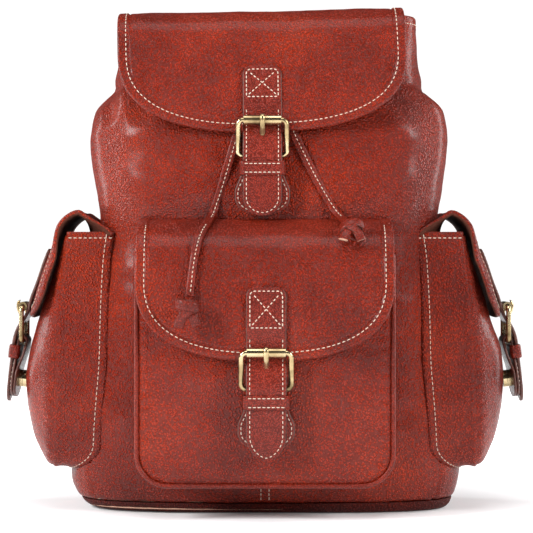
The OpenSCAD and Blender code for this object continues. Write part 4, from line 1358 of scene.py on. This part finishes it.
def add_laces():
    for side, route, knot, lean, nodes in (
            ("left", LEFT_LACE, LEFT_KNOT, 3, ("left_lace", "left_lace_end", "lace_knots")),
            ("right", RIGHT_LACE, RIGHT_KNOT, -45, ("right_lace", "lace_knots"))):
        line = spline(route, 1.3)
        points, faces = lace_mesh(line)
        lace = add_mesh(side + "_lace_leather", points, faces, STRAP_LEATHER, None, nodes)
        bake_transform(lace)
        bands, ends = knot_parts(knot, lean, 1 if side == "left" else -1)
        tied = add_mesh(side + "_knot_leather", *join(bands + ends), STRAP_LEATHER, "pocket_flap")
        tied.data.materials.append(RAW)
        tied.data.materials.append(EDGE_PAINT)
        columns = [k % KNOT_COLUMNS for part in bands + ends for k in range(len(part[1]))]
        for polygon, column in zip(tied.data.polygons, columns):
            if len(polygon.vertices) > 4:
                polygon.material_index = 1
            elif column in KNOT_EDGES:
                polygon.material_index = 2
        recalculate(tied)
        side_of, normal = sweep_frame(line, (1, 0, 0))
        near = arc(line) < arc(line)[-1] - 2
        still = Stitching(side + "_lace_stitches", "root")
        moving = Stitching(side + "_lace_end_stitches", "pocket_flap")
        outward = normal if normal[len(normal) // 2, 1] < 0 else -normal
        on_body = near & (line[:, 1] > -88)
        on_flap = near & (line[:, 1] < -98)
        for stitches, part in ((still, on_body), (moving, on_flap)):
            thread = line + outward * (LACE_T / 2 - 0.15) + side_of * 0.6
            stitches.run(thread[part], outward[part], pitch=3.6, long=2.6)
            stitches.make()
        float(arc(line)[-1]) * MM


# ---------------------------------------------------------------- back

SHOULDER_ROUTE = [(34, 64.2, 350), (36, 70.5, 345.5), (39, 79, 336), (44, 92, 312), (53, 103, 280),
                  (66, 109.5, 240), (79, 110, 210), (88, 107.5, 190), (92, 105.4, 173)]
LOWER_ROUTE = [(92, 102.3, 113), (92.5, 101, 104), (95, 97, 90), (101, 90, 70), (110, 80, 50),
               (120, 70.5, 33)]


def add_shoulder_straps():
    for side, sign in (("right", 1), ("left", -1)):
        line = spline(np.array(SHOULDER_ROUTE) * [sign, 1, 1], 2.0)
        s = arc(line)
        thin = step_between(s, s[-1] * 0.55, s[-1] * 0.98)
        half_w = 23 - 8 * thin
        half_t = 3.5 - 2.2 * thin
        sections = []
        for w, t in zip(half_w, half_t):
            u = np.concatenate([np.linspace(-1, -0.86, 5), np.linspace(-0.8, 0.8, 15),
                                np.linspace(0.86, 1, 5)])
            d = w * (1 - np.abs(u))
            puff = 1.1 + (t - 1.1) * np.clip(d - 3.4, 0, 6) ** 0.5 / 6**0.5
            h = np.minimum(puff, 0.25 + np.sqrt(np.maximum(0, d)) * 1.2)
            top, bottom = np.stack([u * w, h], axis=1), np.stack([u * w, -h], axis=1)
            sections.append(np.concatenate([top[::-1], bottom]))
        points, faces = sweep_mesh(line, np.array(sections), (1, 0, 0))
        strap = add_mesh(side + "_shoulder_pad", points, faces, STRAP_LEATHER, "root",
                         (side + "_shoulder_strap",))
        recalculate(strap)
        edge, out = sweep_frame(line, (1, 0, 0))
        stitches = Stitching(side + "_shoulder_stitches", "root")
        outward = out if out[len(out) // 2, 1] > 0 else -out
        for k in (-1, 1):
            stitches.run(line + edge * (k * (half_w - 3.0))[:, None] + outward * 1.25, outward)
        place = Place((-92 * sign, -105, 176), 3, 180)
        lower = place.face(np.array([(0, y, z) for y, z in STRAP_LINE], float))
        end_line = spline(lower, 1.0)
        ribbon = Ribbon(end_line, point_width(15, arc(end_line)[-1], 15, 0.6), STRAP_T / 2)
        points, faces = ribbon.mesh()
        add_mesh(side + "_shoulder_end", turned(points, 180), faces, STRAP_LEATHER, "root")
        for k in (-1, 1):
            at = np.arange(52, ribbon.s[-1] - 10, 1.0)
            where, normal = ribbon.at(k * (15 - 2.8), at, -0.12)
            stitches.run(turned(where, 180), turned(normal, 180))
        loop = [(0, y, z) for y, z in bar_loop()]
        legs = [(0, TAB_FRONT, z) for z in (-62, -56, -50)]
        down = [(0, -0.6, -50), (0, -0.6, -58)]
        face_line = place.face(np.array(legs + loop + down, float))
        end = turned(np.array(LOWER_ROUTE, float) * [sign, 1, 1], 180)
        ribbon = Ribbon(spline(np.concatenate([face_line, end]), 1.0), 13.5, 1.2)
        points, faces = ribbon.mesh()
        add_mesh(side + "_lower_strap", turned(points, 180), faces, STRAP_LEATHER, "root", ("lower_straps",))
        stitches.make()
        add_prong(side + "_shoulder_prong_metal", place, "root", "shoulder_prongs")


def add_yoke_and_handle():
    """The patch that the carrying straps come from, its stitches, and the rolled handle above."""
    angles = plan_angles(62, 118, 2.5)
    heights = np.linspace(336, 363, 14)
    a, z = np.meshgrid(angles, heights)
    outer = plan_point(a, z, 2.4)
    outer = outer + grid_normals(outer) * (0.5 * rough(outer, 40.0, 61))[..., None]
    edge_i = np.minimum(np.arange(14), 13 - np.arange(14))[:, None] * 2.0
    edge_j = np.minimum(np.arange(len(angles)), len(angles) - 1 - np.arange(len(angles)))[None, :] * 2.5
    drop = 1.2 * np.exp(-np.minimum(edge_i, edge_j) / 0.9)
    centre = plan_point(a, z, 0.3)
    outward = unit(outer - centre)
    outer = outer - outward * drop[..., None]
    points, faces = sheet_mesh(outer, centre)
    yoke = add_mesh("back_yoke_leather", points, faces, STRAP_LEATHER, "root", ("back_yoke",))
    recalculate(yoke)
    stitches = Stitching("yoke_stitches", "root")
    for row in (2, 11):
        stitches.run(outer[row, 2:-2], outward[row, 2:-2])
    right_half = [(20, 68, 358), (31, 68, 361), (39, 68, 368), (42, 68, 378), (42, 68, 386), (42, 67, 392)]
    left_half = [(-x, y, z) for x, y, z in right_half[::-1]]
    line = spline([*left_half, (0, 68, 357), *right_half], 1.5)
    points, faces = sweep_mesh(line, circle(4.5, 18), (0, 1, 0))
    handle = add_mesh("grab_handle_leather", points, faces, STRAP_LEATHER, None, ("grab_handle",))
    recalculate(handle)
    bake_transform(handle)
    for x in (-42, 42):
        grid_x, grid_z = np.meshgrid(np.linspace(-8, 8, 17), np.linspace(374, 398, 25))
        r = np.maximum(np.abs(grid_x) / 8, np.abs(grid_z - 386) / 12)
        y = 63.4 - 1.6 * np.clip((r - 0.86) / 0.14, 0, 1) ** 2
        tab = np.stack([x - grid_x, y, grid_z], axis=-1)
        points, faces = sheet_mesh(tab, tab * [1, 0, 1] + [0, 60.5, 0])
        patch = add_mesh(f"handle_patch_{'left' if x < 0 else 'right'}", points, faces, STRAP_LEATHER, "root")
        recalculate(patch)
        outline = [(x - 6, 377), (x + 6, 377), (x + 6, 395), (x - 6, 395), (x - 6, 377)]
        path = resample(np.array([(a, 63.45, b) for a, b in outline], float), 1.0)
        stitches.run(path, (0, 1, 0), pitch=4.0, long=2.9)
    stitches.make()


# ---------------------------------------------------------------- inner pieces, floor and light

WORLD_LIGHT = 0.05
SOFT_BOXES = [
    ("left_box", (-1.45, -1.15, 1.05), (0.4, 0.9), 50),
    ("right_box", (1.5, -1.05, 0.9), (0.4, 0.9), 30),
    ("top_box", (0, -0.5, 1.9), (1.2, 0.9), 15),
    ("left_strip", (-1.3, 0.55, 0.6), (0.3, 1.1), 12),
    ("right_strip", (1.3, 0.55, 0.6), (0.3, 1.1), 12),
]


def dress_inner():
    """The pieces that stay inside keep their CAD shapes and get their own materials."""
    for name, material in (("base_board", RAW), ("drawcord", STRAP_LEATHER)):
        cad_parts[name].data.materials.clear()
        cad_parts[name].data.materials.append(material)


FLOOR_R = 1.9
FLOOR_DROP = 0.0004
SURROUND = 1.05


def add_floor():
    """A plain white floor with a painted glow that grows away from the bag, so that only the soft shadow
    shows; near the bag the weak glow is painted shade.
    """
    mesh = bpy.data.meshes.new("floor")
    rim = circle(FLOOR_R, 72)
    mesh.from_pydata([(x, y, 0) for x, y in rim], [], [list(range(len(rim)))])
    floor = bpy.data.objects.new("floor", mesh)
    bpy.context.collection.objects.link(floor)
    floor.location.z = -FLOOR_DROP
    n = Nodes("pale_floor")
    n.set(Base_Color=(0.9, 0.9, 0.91, 1), Roughness=0.75, Specular_IOR_Level=0.15,
          Emission_Color=(1, 1, 1, 1))
    away = n.add("ShaderNodeVectorMath", operation="LENGTH")
    n.link(n.coordinates(), away.inputs[0])
    # Painted glow: weakest near the bag, which paints the floor round the bag's foot darker.
    n.feed("Emission Strength", n.range(away.outputs["Value"], 0.15, 0.6, 0.05, 1.0))
    mesh.materials.append(n.material)


def add_light(name, at, target, size, power, color=(1, 1, 1)):
    light = bpy.data.lights.new(name, "AREA")
    light.shape = "RECTANGLE"
    light.size, light.size_y = size
    light.energy = power
    light.color = color
    obj = bpy.data.objects.new(name, light)
    bpy.context.collection.objects.link(obj)
    obj.location = at
    obj.rotation_euler = (Vector(target) - Vector(at)).to_track_quat("-Z", "Y").to_euler()


def add_lights():
    """Soft boxes at both sides and above, and a white surround that lights the bag only weakly."""
    bpy.context.scene.view_settings.view_transform = "Standard"
    world = bpy.data.worlds.new("studio")
    bpy.context.scene.world = world
    world.use_nodes = True
    tree = world.node_tree
    lit, seen = tree.nodes["Background"], tree.nodes.new("ShaderNodeBackground")
    lit.inputs["Color"].default_value = (1, 1, 1, 1)
    lit.inputs["Strength"].default_value = WORLD_LIGHT
    seen.inputs["Color"].default_value = (1, 1, 1, 1)
    seen.inputs["Strength"].default_value = SURROUND
    path, mix = tree.nodes.new("ShaderNodeLightPath"), tree.nodes.new("ShaderNodeMixShader")
    tree.links.new(path.outputs["Is Camera Ray"], mix.inputs[0])
    tree.links.new(lit.outputs[0], mix.inputs[1])
    tree.links.new(seen.outputs[0], mix.inputs[2])
    tree.links.new(mix.outputs[0], tree.nodes["World Output"].inputs["Surface"])
    for name, at, size, power in SOFT_BOXES:
        add_light(name, at, (0, 0, 0.2), size, power)


add_laces()
add_body()
add_base()
add_lining()
add_flaps()
add_closures()
add_front_pocket()
add_side_pocket("right", 90)
add_side_pocket("left", -90)
add_shoulder_straps()
add_yoke_and_handle()
dress_inner()
add_floor()
add_lights()
